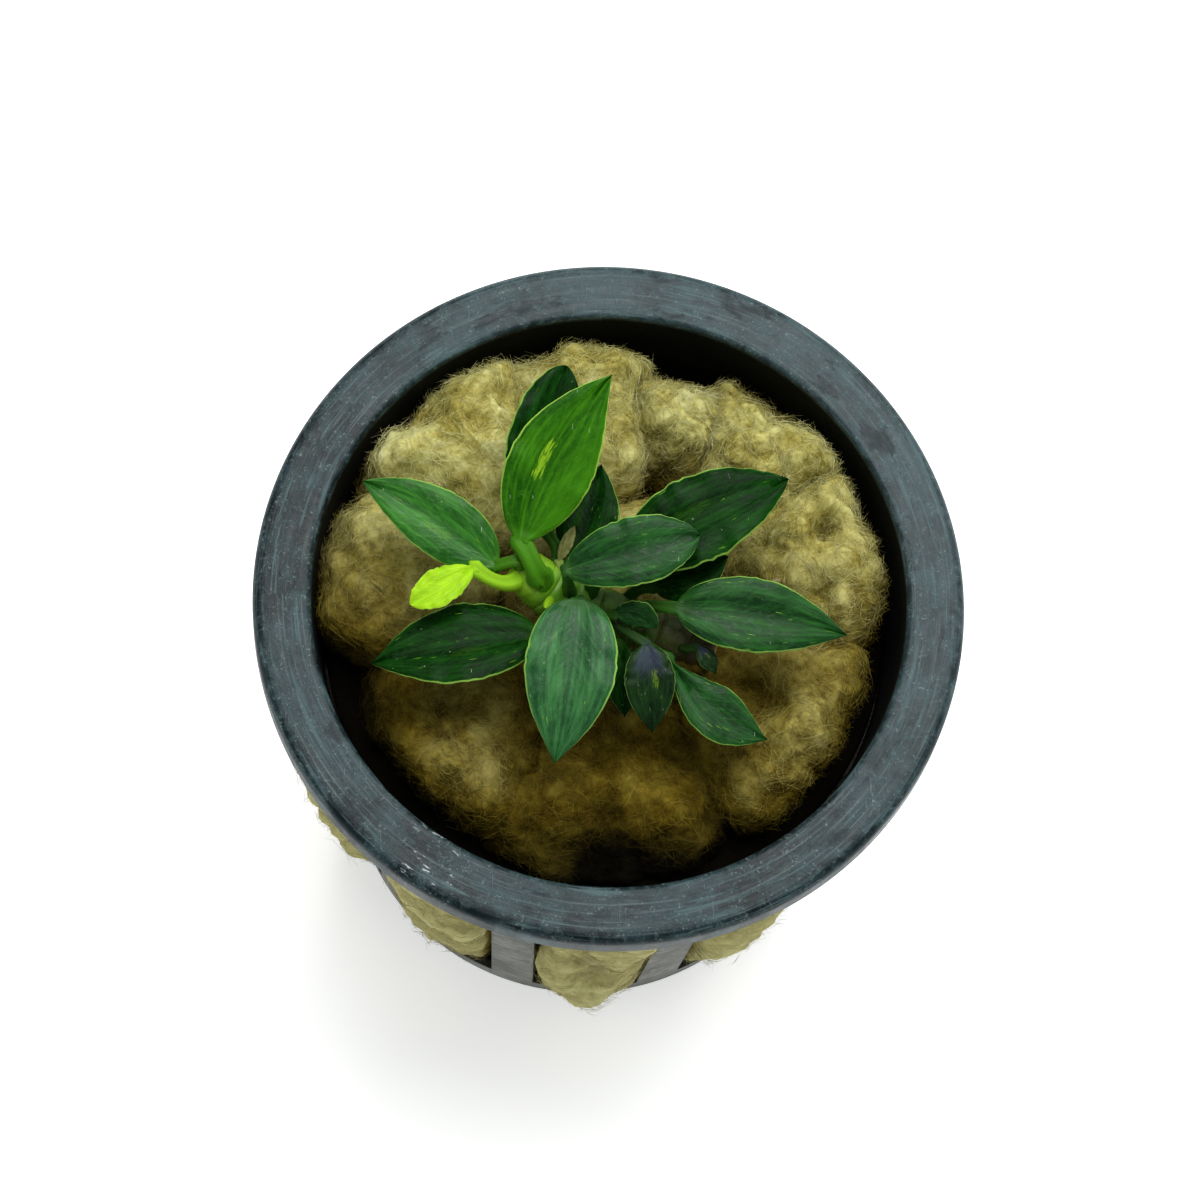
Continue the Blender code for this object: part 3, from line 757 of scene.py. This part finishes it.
def core_surface():
    """The wool that fills the pot, from its top edge down, with lobes in the windows."""
    heights = np.linspace(CORE_HIGH - 0.4, CORE_LOW, CORE_ROWS)
    low, high = WINDOW_BOTTOM + 0.4, WINDOW_TOP - 0.4
    level = np.clip((heights - low) / (high - low), 0, 1)
    wall = wall_radius(heights)
    slat_half = (SLAT_WIDTH / 2 + 0.35) / wall
    grid, out = [], []

    def column(angle, bulge):
        radius = wall - WALL - 0.3 + bulge
        grid.append(np.stack([radius * np.cos(angle), radius * np.sin(angle), heights], -1))
        out.append(bulge)

    for window, share in enumerate(BULGE_SHARES):
        for across in np.linspace(-1, 1, CORE_WINDOW_COLUMNS, endpoint=False):
            angle = (window + 0.5) * PITCH + (PITCH / 2 - slat_half) * across
            edge = (1 - abs(across) ** 4.5) ** 0.6
            rise = np.sin(pi * level) ** 0.4
            place = np.stack([angle * 20, heights * 0.55, np.full(CORE_ROWS, share * 9.0)], -1)
            lobes = 0.72 + 0.42 * noise(place, 4.5, 61) + 0.2 * noise(place, 2.0, 67)
            column(angle, (BULGE_BASE + BULGE * share * np.clip(lobes, 0.1, 1.15)) * edge * rise)
        for across in np.linspace(-1, 1, CORE_SLAT_COLUMNS, endpoint=False):
            column((window + 1.0) * PITCH + slat_half * across, np.zeros(CORE_ROWS))
    grid, out = np.stack(grid, 1), np.stack(out, 1)
    top = [grid[0] * (share, share, 1) + (0, 0, 0.4)
           for share in np.linspace(0.62, 0.985, CORE_TOP_ROWS)]
    grid = np.concatenate([np.stack(top), grid])
    out = np.concatenate([np.full((CORE_TOP_ROWS, out.shape[1]), 0.7), out])
    rough, push = roughen(grid, 900, 0.8)
    free = np.clip(out / 1.6, 0, 1)[..., None]
    grid = grid * (1 - free) + rough * free
    # clear of the pot's floor and of the wads' feet
    grid[..., 2] = np.clip(grid[..., 2], CORE_LOW, CORE_HIGH + 0.6)
    return grid, push * free[..., 0]


def wool_core(finish):
    """The wool inside the pot, which swells out of its windows."""
    piece = fleece("fleece_core", *core_surface(), 900, CORE_LOW, damp_and_shade_core, (2500, 5000),
                   CORE_ROWS + CORE_TOP_ROWS - 2)
    finish_piece(piece, finish, "rock_wool", "wool_core")


# ---- plant ----

# The rhizome's centre line from the growing tip to the old cut end, with its radius
RHIZOME = [
    (-7.1, 1.2, 54.4, 1.5),
    (-5.8, 0.1, 53.5, 2.0),
    (-4.2, -0.8, 52.6, 2.1),
    (-1.8, -1.4, 51.7, 1.75),
    (0.8, -2.1, 51.3, 1.8),
    (3.4, -3.0, 51.1, 1.7),
    (6.0, -3.9, 50.9, 1.7),
    (8.2, -4.7, 50.9, 1.5),
]

# Each leaf: where it stands on the rhizome and how it leans, the ends of its blade,
# its width, where it is widest and how full its base and its end are, how far the blade
# arches, bends and rolls, its petiole's radius, how crumpled it is, and its kind
Leaf = namedtuple("Leaf", "name node lean neck tip width widest base end "
                          "arch bend roll stalk crumple kind")
LEAVES = [Leaf("leaf_" + name, *rest) for name, *rest in (
    ("bright", 0.16, -8, (-7.2, 2.2, 57.0), (-0.4, 13.7, 63),
     6.8, 0.4, 0.78, 0.95, 0.6, 0.7, 12, 0.8, 0.02, "bright"),
    ("back", 0.2, 75, (-5.5, 4.2, 54.2), (-3.7, 16.1, 58.4),
     6.2, 0.45, 0.6, 0.55, 0.6, 0.7, 10, 0.5, 0.03, "dark"),
    ("back_shaded", 0.34, 65, (-2.8, 2.0, 52.9), (-0.8, 9.5, 54.0),
     5.0, 0.43, 0.6, 0.9, 0.2, 0, 0, 0.5, 0.02, "dark"),
    ("left_upper", 0.0, -10, (-9.1, 0.8, 55.0), (-19.4, 7.3, 56),
     5.2, 0.4, 0.65, 0.8, 0.7, -0.3, -12, 0.5, 0.02, "lit"),
    ("new", 0.05, -70, (-10.8, 0.3, 56.0), (-15.7, -2.7, 56),
     3.0, 0.55, 0.6, 0.55, 0.5, 0.1, 0, 0.6, 0.05, "new"),
    ("left_lower", 0.34, -88, (-5.8, -4.4, 53.6), (-18.6, -6.6, 53),
     6.7, 0.45, 0.55, 0.9, 0.9, -0.1, 8, 0.5, 0.02, "dark"),
    ("front", 0.37, -25, (-2.9, -2.6, 57), (-4.6, -14.9, 54.5),
     7.1, 0.42, 0.42, 0.95, 1.1, 0.2, 0, 0.55, 0.02, "blue"),
    ("centre", 0.33, 0, (-3.9, -0.7, 58.5), (6.4, 1.9, 59.5),
     5.4, 0.53, 0.45, 0.6, 0.7, -0.1, 8, 0.5, 0.03, "mid"),
    ("right_upper", 0.42, 20, (1.2, 1.4, 55.8), (13.5, 7.2, 57.5),
     7.0, 0.43, 0.55, 0.75, 0.7, 0.1, 0, 0.5, 0.03, "dark"),
    ("right_hidden", 0.58, 50, (3.2, -0.4, 53.6), (9.0, 1.9, 54.3),
     4.8, 0.45, 0.55, 0.9, 0.4, 0, 0, 0.45, 0.02, "dark"),
    ("right", 0.62, 10, (4.8, -2.7, 55.5), (18.1, -4.3, 54),
     5.9, 0.42, 0.6, 0.9, 1.0, 0.1, 8, 0.5, 0.02, "mid"),
    ("curled", 0.46, -30, (0.2, -3.0, 54.8), (3.4, -4.0, 54.4),
     2.3, 0.5, 0.5, 0.8, 0.6, 0.4, 40, 0.4, 0.05, "mid"),
    ("small_front", 0.55, -30, (2.6, -5.2, 54.2), (3.1, -11.5, 51.6),
     4.0, 0.45, 0.6, 0.9, 0.8, 0, 0, 0.4, 0.03, "purple"),
    ("right_front", 0.68, -50, (4.4, -6.0, 53), (12.0, -12.0, 51.3),
     4.3, 0.58, 0.85, 1.05, 0.6, -1.1, 0, 0.45, 0.02, "mid"),
    ("narrow", 0.85, -40, (6.6, -5.3, 54.0), (8.0, -7.3, 53.4),
     1.5, 0.5, 0.6, 1.0, 0.3, 0, 0, 0.35, 0.05, "purple"),
    ("front_low", 0.46, -75, (0.8, -4.8, 52.9), (1.0, -10.1, 51),
     3.0, 0.5, 0.6, 1.0, 0.5, 0, 0, 0.4, 0.02, "dark"),
    ("sheath", 0.24, 38, (-4.2, 1.3, 54.6), (-3.0, 3.9, 55.6),
     1.0, 0.5, 0.6, 0.8, 0.2, 0, 0, 0.35, 0.07, "sheath"),
)]
LEAF_AROUND = 32
STALK_ROWS = 12
BLADE_ROWS = 48
SINK = 0.5


def rhizome_at(share):
    """The rhizome's centre and radius at a share of its length, in millimetres."""
    place = min(max(share, 0.0), 1.0) * (len(RHIZOME) - 1)
    index = min(int(place), len(RHIZOME) - 2)
    mixed = Vector(RHIZOME[index]).lerp(Vector(RHIZOME[index + 1]), place - index)
    return mixed.to_3d(), mixed[3]


def stand_on_rhizome(share, lean):
    """Where a stem stands at a share of the rhizome's length, and which way it points."""
    centre, radius = rhizome_at(share)
    along = rhizome_at(share + 0.05)[0] - rhizome_at(share - 0.05)[0]
    across = UP.cross(along).normalized()
    way = UP * cos(radians(lean)) + across * sin(radians(lean))
    return centre + way * radius, way


def bezier(start, middle, end, share):
    rest = 1 - share
    return start * rest * rest + middle * 2 * rest * share + end * share * share


def blade_width(spec, share):
    """A blade's width at a share of its length, from 0 at the neck to 1 at its widest."""
    power = log(0.5) / log(spec.widest)
    fullness = spec.base + (spec.end - spec.base) * share
    return sin(pi * min(share, 1.0) ** power) ** fullness


def leaf_rows(spec):
    """The leaf's centre line: place, half width, half thickness, share along the blade."""
    foot, way = stand_on_rhizome(spec.node, spec.lean)
    foot = foot - way * SINK
    neck, tip = Vector(spec.neck), Vector(spec.tip)
    rise = foot + way * ((neck - foot).length * 0.35 + SINK)
    left = UP.cross(tip - neck).normalized()
    crest = (neck + tip) / 2 + (UP * spec.arch + left * spec.bend) * 2
    rows = []
    for index in range(STALK_ROWS):
        share = index / STALK_ROWS
        thick = spec.stalk * (0.82 + 0.75 * (1 - share) ** 2.5)
        rows.append((bezier(foot, rise, neck, share), thick * (1 + 0.35 * share ** 3), thick,
                     share - 1))
    # rows lie closer together towards both ends of the blade
    turns = np.linspace(0.04, 1, BLADE_ROWS + 1) * pi
    for share in (np.cos(turns[0]) - np.cos(turns)) / (1 + np.cos(turns[0])):
        half = max(spec.width / 2 * blade_width(spec, share), 0.17 - 0.1 * share)
        stem = 0.82 * spec.stalk * (1 - min(share / 0.07, 1.0)) ** 0.8
        rows.append((bezier(neck, crest, tip, share), max(half, 1.45 * stem),
                     max(0.2 * (1 - 0.6 * share), stem), share))
    return rows, way, left


def leaf_frames(spec):
    """Each row of a leaf with the way across it and the way out of its face."""
    rows, start_way, side = leaf_rows(spec)
    for index, (place, half, thick, share) in enumerate(rows):
        last, following = rows[max(index - 1, 0)][0], rows[min(index + 1, len(rows) - 1)][0]
        way = (following - last).normalized() if index else start_way
        level = UP.cross(way)
        side = side if level.length < 0.25 else level.normalized()
        side = (side - way * side.dot(way)).normalized()
        over = way.cross(side)
        roll = radians(spec.roll) * min(max(share, 0) / 0.12, 1.0)
        edge = side * cos(roll) + over * sin(roll)
        face = over * cos(roll) - side * sin(roll)
        yield place, half, thick, share, edge, face


def leaf_section(spec, waves, place, half, thick, share, edge, face):
    """Points round one row of a leaf, how far across each lies, and which lie under."""
    turn = np.linspace(0, 2 * pi, LEAF_AROUND, endpoint=False)
    across, top = np.cos(turn), np.sin(turn)
    # round in the petiole, flat in the blade and thin towards its margin
    flat = min(max(share, 0) / 0.1, 1.0)
    span = np.copysign(np.abs(across) ** (1 - 0.25 * flat), across)
    wide, right = np.abs(span), span > 0
    height = thick * (top * (1 - flat) + flat * np.copysign(np.abs(top) ** 0.5, top))
    height -= (top > 0) * 0.35 * thick * (1 - flat) * np.exp(-(across / 0.4) ** 2)
    dish = 0.11 * half * (np.sqrt(span * span + 0.012) - 0.5)
    dish += spec.width * 0.035 * (1 - (2 * wide - 1) ** 2)
    rib = np.where(top < 0, -0.16 * np.exp(-(span * half / 0.3) ** 2),
                   -0.13 * np.exp(-(span * half / 0.22) ** 2))
    wave = 0.0
    for number, (a, b, c) in enumerate(waves):
        phase = (number + 1.4) * 2.1 * share + a * 3 + np.where(right, 1.7 * b, 3.1 * c)
        wave = wave + np.sin(2 * pi * phase) / (number + 1.6)
    wave *= spec.crumple * half * wide ** 2.2 * 2.2
    cockle = 0.018 * half * np.sin(9 * share + 4 * wide + 6 * waves[0][0]) * (1 - wide)
    height += flat * (dish + rib * min(1.0, 1.3 - share) + wave + cockle)
    ripple = 2 * pi * (6.3 * share + np.where(right, waves[1][0], waves[2][0]))
    ripple = np.sin(ripple + 2.5 * sin(15 * share))
    reach = half * (1 + spec.crumple * 0.7 * flat * wide ** 2.2 * ripple)
    points = np.array(place) + np.outer(reach * span, edge) + np.outer(height, face)
    return points, span, top < 0


def leaf_piece(spec, seed):
    """One closed leaf: a petiole that opens into a blade with midrib and thin margin."""
    waves = np.random.default_rng(seed).uniform(-1, 1, (4, 3))
    rows = list(leaf_frames(spec))
    points, across, under = zip(*(leaf_section(spec, waves, *row) for row in rows))
    ends = [points[0].mean(axis=0), points[-1].mean(axis=0)]
    piece = mesh_from(spec.name.replace("leaf", "blade"), np.concatenate([*points, ends]),
                      grid_faces(len(rows), LEAF_AROUND), end_fans(len(rows), LEAF_AROUND))
    along = np.repeat([row[3] for row in rows], LEAF_AROUND)
    set_values(piece, across=np.concatenate([*across, [0, 0]]),
               along=np.concatenate([along, [-1, 1]]), under=np.concatenate([*under, [0, 0]]))
    return piece


# Each kind of leaf: its deep and light colours, how strong the pale streak beside its midrib
# and the painted sheen that lightens one half of its blade, its roughness and gloss, how freely
# it is flecked, and the painted bluish sheen at its neck
Kind = namedtuple("Kind", "deep light streak sheen gloss flecks stalk fleck margin blush",
                  defaults=(0.5, (0.045, 0.14, 0.014), (0.26, 0.48, 0.05), (0.30, 0.52, 0.10), 0))
NO_FLECKS = -2.0
KINDS = {
    "dark": Kind((0.002, 0.018, 0.002), (0.012, 0.082, 0.007), 0.1, 0.26, 0.08,
                 stalk=(0.035, 0.115, 0.012), fleck=(0.20, 0.42, 0.03)),
    "mid": Kind((0.005, 0.036, 0.007), (0.026, 0.135, 0.022), 0, 0.33, 0.22),
    "lit": Kind((0.013, 0.085, 0.009), (0.070, 0.270, 0.036), 0.2, 0.30, 0.24, 0.5,
                (0.075, 0.22, 0.014), (0.30, 0.52, 0.05), (0.34, 0.56, 0.10)),
    # painted sheen: a lighter, bluer copy of the leaf colours for the front leaf, which catches the
    # light
    "blue": Kind((0.010, 0.066, 0.018), (0.062, 0.220, 0.066), 0, 0.33, 0.28),
    "bright": Kind((0.010, 0.085, 0.001), (0.075, 0.270, 0.006), 1, 0.36, 0.18, NO_FLECKS,
                   (0.075, 0.235, 0.010), (0.36, 0.60, 0.03), (0.42, 0.66, 0.10)),
    "new": Kind((0.30, 0.55, 0.01), (0.46, 0.76, 0.025), 0, 0.45, 0.2, NO_FLECKS,
                (0.28, 0.52, 0.02), (0.60, 0.85, 0.10), (0.55, 0.80, 0.12)),
    "purple": Kind((0.003, 0.015, 0.003), (0.018, 0.065, 0.014), 0.5, 0.35, 0.2, 0.6,
                   (0.03, 0.08, 0.015), (0.30, 0.42, 0.03), (0.22, 0.36, 0.08), 0.45),
    "sheath": Kind((0.13, 0.14, 0.04), (0.30, 0.30, 0.12), 0, 0.6, 0.2, NO_FLECKS,
                   (0.20, 0.28, 0.06), (0.25, 0.21, 0.08), (0.50, 0.46, 0.26)),
}
SLOTS = {"bright": "leaf_young", "new": "leaf_young", "sheath": "dry_sheath"}


def leaf_material(name, kind):
    """Leathery leaf: veins, a pale thin margin, yellow-green flecks, pale specks, painted sheen on
    one half and at the neck, painted shade along the midrib.
    """
    m = Nodes(name)
    place = m.place()
    across, along, under = m.value("across"), m.value("along"), m.value("under")
    wide = m.math("ABSOLUTE", across)
    sideways = across + m.add("ObjectInfo", {}, "Random") * 7.0
    flow = m.join(sideways * 3.0, along * 4.0 - wide * 1.3)
    long_flow = m.join(sideways * 9.0, along * 3.0 - wide * 1.6)
    cloud = m.noise(flow, 1.3)
    streaks = m.noise(long_flow, 1.0, 4, 0.6)
    fine = m.noise(place, 0.16, 3, 0.65)
    cells = m.noise(place, 0.5, 3, 0.6)
    veins = m.math("SINE", along * 46.0 - wide * 17.0 + cloud * 6.0).step(0.45, 1.0)
    patches = m.noise(m.join(sideways * 4.0, along * 2.5, 5.0), 1.0, 2.0)
    edge = 0.72 - 0.08 * kind.flecks
    fleck = m.noise(long_flow, 0.34, 2.0, 0.5).step(edge - 0.015, edge + 0.015)
    # painted sheen: one half of the blade, short of its tip, is lightened as if it caught the light
    half = across.step(0.0, -0.5) * along.step(0.9, 0.45)
    ragged = m.noise(m.join(across * 16.0, along * 9.0, 2.0), 1.0, 4.0)
    band = across.step(0.04, 0.12) * across.step(0.5, 0.3)
    band = band * along.step(0.2, 0.36) * along.step(0.66, 0.5)
    specks = m.noise(place, 0.32, 1.0, 0.4).step(0.77, 0.8) * cells.step(0.4, 0.6)
    lint = m.stretch(place, (0.2, 0.4, 1.1), (1.0, 0.13, 0.3))
    lint = m.noise(lint, 0.13, 1.0, 0.4).step(0.79, 0.82)
    # painted reflection: a bluish-purple sheen near the neck of the blade
    blush = along.step(0.48, 0.2, 0.0, kind.blush) * wide.step(0.8, 0.35)
    margin = (wide + (m.noise(flow, 0.25, 2.0) - 0.5) * 0.05).step(0.945, 0.98)
    margin = margin * along.step(0.03, 0.1) * streaks.step(0.3, 0.6, 0.65, 1.0)
    color = m.layers(
        m.mix((cloud * 0.55 + streaks * 0.5).step(0.41, 0.72), kind.deep, kind.light),
        (cells.step(0.45, 0.75) * 0.35, kind.light),
        (fine.step(0.52, 0.7) * 0.25, kind.light),
        # painted shade: the blade darkens along the crease of its midrib
        (wide.step(0.0, 0.075, 1.0, 0.0) * 0.45, kind.deep),
        (veins * 0.12, kind.light),
        (fleck * patches.step(0.5, 0.6) * 0.85, kind.fleck),
        (half * (kind.streak * 0.45), kind.light),
        ((band * ragged).step(0.42, 0.54) * (kind.streak * 0.75), kind.fleck),
        (specks * 0.5, (0.42, 0.52, 0.36)),
        (lint * 0.6, (0.5, 0.56, 0.46)),
        (blush, (0.085, 0.085, 0.17)),
        (margin * 0.9, kind.margin),
        (along.step(0.14, -0.12), kind.stalk),
        (under * 0.35, kind.light))
    rough = (cells + cloud * 0.4).step(0.4, 0.9, kind.sheen - 0.06, kind.sheen + 0.2)
    return m.surface(color, rough, (veins, 0.03, 0.3), (streaks, 0.08, 0.2), (fine, 0.03, 0.5),
                     Specular_IOR_Level=kind.gloss, Subsurface_Weight=0.1,
                     Subsurface_Scale=0.4 * MM)


def leaves(finishes):
    """All the leaves, each in the finish of its kind."""
    for index, spec in enumerate(LEAVES):
        slot = SLOTS.get(spec.kind, "leaf_green")
        finish_piece(leaf_piece(spec, 300 + index), finishes[spec.kind], slot, spec.name, angle=70)


def tube(name, centres, radii, around, shape=lambda turn, row: np.ones(turn.shape)):
    """A closed tube along centres; shape gives each point's radius factor."""
    centres = np.asarray(centres, dtype=float)
    rows = len(centres)
    way = unit(np.gradient(centres, axis=0))
    side = unit(np.cross(UP, way))
    over = np.cross(way, side)
    turn = np.linspace(0, 2 * pi, around, endpoint=False)
    turn, row = np.broadcast_arrays(turn[None, :], np.arange(rows)[:, None])
    ring = side[:, None] * np.cos(turn)[..., None] + over[:, None] * np.sin(turn)[..., None]
    reach = shape(turn, row)[..., None] * np.asarray(radii)[:, None, None]
    points = (centres[:, None] + ring * reach).reshape(-1, 3)
    points = np.concatenate([points, centres[:1], centres[-1:]])
    return mesh_from(name, points, grid_faces(rows, around), end_fans(rows, around))


RHIZOME_ROWS = 110
RHIZOME_AROUND = 36
SCARS = 15


def rhizome():
    """A fleshy creeping stem: leaf-scar rings, a plump green tip and a cut brown end."""
    shares = np.linspace(0, 1, RHIZOME_ROWS)
    centres, radii = [], []
    for share in shares:
        centre, radius = rhizome_at(share)
        scar = (share * SCARS) % 1.0
        ridge = 0.05 * sin(pi * scar) - 0.07 * exp(-(scar / 0.12) ** 2)
        tip = min(1.0, sqrt(max(0.0, 1 - max(0.0, 1 - share / 0.05) ** 2)) + 0.05)
        cut = 0.85 + 0.15 * min(1.0, (1 - share) / 0.02)
        centres.append(centre)
        radii.append(radius * (1 + min(1.0, share / 0.35) * ridge) * min(tip, cut))

    def shape(turn, row):
        place = np.stack([np.cos(turn), np.sin(turn), row * 0.06], -1)
        return 1 + 0.05 * noise(place, 0.7, 5) + 0.025 * noise(place, 0.25, 6)

    piece = tube("rhizome_stem", centres, radii, RHIZOME_AROUND, shape)
    set_values(piece, along=np.concatenate([np.repeat(shares, RHIZOME_AROUND), [0, 1]]))
    finish_piece(piece, rhizome_material(), "rhizome_skin", "rhizome", angle=60)


def rhizome_material():
    """Green skin that browns with age, with dull rings at the leaf scars."""
    m = Nodes("rhizome_skin")
    place, along = m.place(), m.value("along")
    cloud = m.noise(place, 1.2, 4.0)
    fine = m.noise(place, 0.2, 3, 0.65)
    scar = m.math("FRACT", along * float(SCARS))
    ring = scar.step(0.0, 0.12, 1.0, 0.0) + scar.step(0.9, 1.0)
    color = m.ramp(along + (cloud - 0.5) * 0.35, (0.0, (0.26, 0.46, 0.02)),
                   (0.25, (0.12, 0.30, 0.016)), (0.5, (0.085, 0.20, 0.02)),
                   (0.8, (0.075, 0.085, 0.02)), (1.0, (0.10, 0.075, 0.03)))
    color = m.layers(color, (ring * along.step(0.1, 0.5, 0.05, 0.45), (0.10, 0.10, 0.025)),
                     (fine.step(0.6, 0.75) * 0.3, (0.30, 0.30, 0.10)),
                     (along.step(0.992, 0.998), (0.42, 0.30, 0.15)))
    return m.surface(color, cloud.step(0.3, 0.7, 0.38, 0.5), (cloud, 0.2, 0.3), (fine, 0.05, 0.5),
                     Subsurface_Weight=0.15, Subsurface_Scale=0.6 * MM)


ROOTS = {
    "root_back": [(-2.2, 1.0, 50.2), (-1.8, 3.2, 49.9), (-0.6, 5.4, 49.6), (0.4, 8.2, 49.6)],
    "root_right": [(7.2, NO_FLECKS, 49.8), (9.0, -0.2, 49.6), (11.0, 1.0, 49.6), (13.4, 1.4, 50.2)],
    "root_front": [(-1.6, -3.6, 50.0), (-2.0, -5.4, 49.8), (-3.2, -7.4, 49.4), (-3.8, -9.8, 48.6)],
}

ROOT_ROWS = 60


def smooth_line(points, count):
    """Points along a smooth curve through the given ones."""
    points = np.asarray(points, dtype=float)
    padded = np.concatenate([2 * points[:1] - points[1:2], points, 2 * points[-1:] - points[-2:-1]])
    out = []
    for place in np.linspace(0, len(points) - 1.0001, count):
        index = int(place)
        t = place - index
        a, b, c, d = padded[index:index + 4]
        out.append(0.5 * (2 * b + (c - a) * t + (2 * a - 5 * b + 4 * c - d) * t * t
                          + (3 * b - a - 3 * c + d) * t ** 3))
    return np.array(out)


def roots():
    """Pale brown roots with a fuzz of root hairs, which sink into the wool at their ends."""
    m = Nodes("root_skin")
    place = m.place()
    cloud = m.noise(place, 0.9, 4.0)
    fine = m.noise(place, 0.12, 3, 0.7)
    color = m.ramp(cloud, (0.3, (0.13, 0.085, 0.03)), (0.55, (0.28, 0.22, 0.09)),
                   (0.75, (0.36, 0.36, 0.14)))
    color = m.layers(color, (fine.step(0.5, 0.7) * 0.4, (0.10, 0.06, 0.02)))
    finish = m.surface(color, 0.6, (fine, 0.04, 0.6))
    for index, (name, points) in enumerate(ROOTS.items()):
        line = smooth_line(points, ROOT_ROWS)
        line = line + 0.12 * noise_vector(line, 1.3, 40 + index)
        radii = np.linspace(0.34, 0.2, ROOT_ROWS) * (1 + 0.12 * noise(line, 0.7, 70 + index))
        finish_piece(tube(name + "_strand", line, radii, 14), finish, "root_skin", name)


def bud(finish):
    """A pointed bud that stands between the petioles."""
    foot, way = stand_on_rhizome(0.27, -35)
    shares = np.linspace(0, 1, 24)
    centres = [foot + way * (2.5 * share - 0.3) for share in shares]
    radii = 0.4 * np.sin(pi * (0.22 + 0.78 * shares)) ** 0.7 + 0.02
    piece = tube("bud_tip", centres, radii, 18, lambda turn, row: 1 + 0.06 * np.cos(3 * turn))
    ones = np.ones(len(piece.data.vertices))
    set_values(piece, across=0.3 * ones, along=0.5 * ones, under=0 * ones)
    finish_piece(piece, finish, "leaf_young", "bud")


# ---- camera, lights, floor ----

# The camera and the lights are placed in metres
POT_TOP = Vector((0, 0, POT_HEIGHT * MM))
CAMERA_AZIMUTH = radians(-9)
CAMERA_ELEVATION = radians(72)
CAMERA_ROLL = radians(9)
CAMERA_DISTANCE = 0.4
CAMERA_LENS = 153.0
AIM_RIGHT = -0.78 * MM
AIM_UP = -0.28 * MM


def camera():
    """Looks down on the rim from the front, turned a little about its own axis."""
    flat = cos(CAMERA_ELEVATION)
    back = Vector((sin(CAMERA_AZIMUTH) * flat, -cos(CAMERA_AZIMUTH) * flat,
                   sin(CAMERA_ELEVATION)))
    level = Vector((cos(CAMERA_AZIMUTH), sin(CAMERA_AZIMUTH), 0))
    over = back.cross(level)
    right = level * cos(CAMERA_ROLL) + over * sin(CAMERA_ROLL)
    up = over * cos(CAMERA_ROLL) - level * sin(CAMERA_ROLL)
    place = POT_TOP + back * CAMERA_DISTANCE + right * AIM_RIGHT + up * AIM_UP
    data = bpy.data.cameras.new("camera")
    data.lens = CAMERA_LENS
    data.sensor_width = 36
    data.clip_start = 0.01
    made = put_in_scene("camera", data)
    turn = Matrix((right, up, back)).transposed().to_4x4()
    made.matrix_world = Matrix.Translation(place) @ turn
    bpy.context.scene.camera = made


def soft_light(name, place, size, power):
    """A square soft box that faces the plant."""
    data = bpy.data.lights.new(name, "AREA")
    data.size = size
    data.energy = power
    made = put_in_scene(name, data)
    made.location = place
    made.rotation_euler = (POT_TOP - made.location).to_track_quat("-Z", "Y").to_euler()


def studio():
    """Soft daylight from behind, a weaker fill, and a plain white floor."""
    world = bpy.data.worlds.new("studio")
    world.use_nodes = True
    sky = world.node_tree.nodes["Background"].inputs
    sky["Color"].default_value = (0.95, 0.98, 1.0, 1)
    sky["Strength"].default_value = 0.34
    bpy.context.scene.world = world
    soft_light("key", (0.10, 0.36, 1.05), 0.8, 9.5)
    soft_light("fill", (0.9, 0.5, 0.7), 0.8, 2.0)
    half = 3000
    corners = [(-half, -half, 0), (half, -half, 0), (half, half, 0), (-half, half, 0)]
    floor = mesh_from("floor", corners, [(0, 1, 2, 3)])
    m = Nodes("floor_white")
    white = m.mix(m.noise(m.place(), 3), (0.9, 0.91, 0.91), (0.93, 0.94, 0.94))
    floor.data.materials.append(m.surface(white, 0.7, Emission_Color=(1, 1, 1, 1),
                                          Emission_Strength=0.42, Specular_IOR_Level=0.1))
    bpy.context.scene.view_settings.view_transform = "Standard"
    bpy.context.scene.view_settings.look = "Medium High Contrast"


net_pot()
wool = wool_material()
wool_wads(wool)
wool_core(wool)
finishes = {key: leaf_material("leaf_" + key, kind) for key, kind in KINDS.items()}
leaves(finishes)
rhizome()
roots()
bud(finishes["bright"])
camera()
studio()
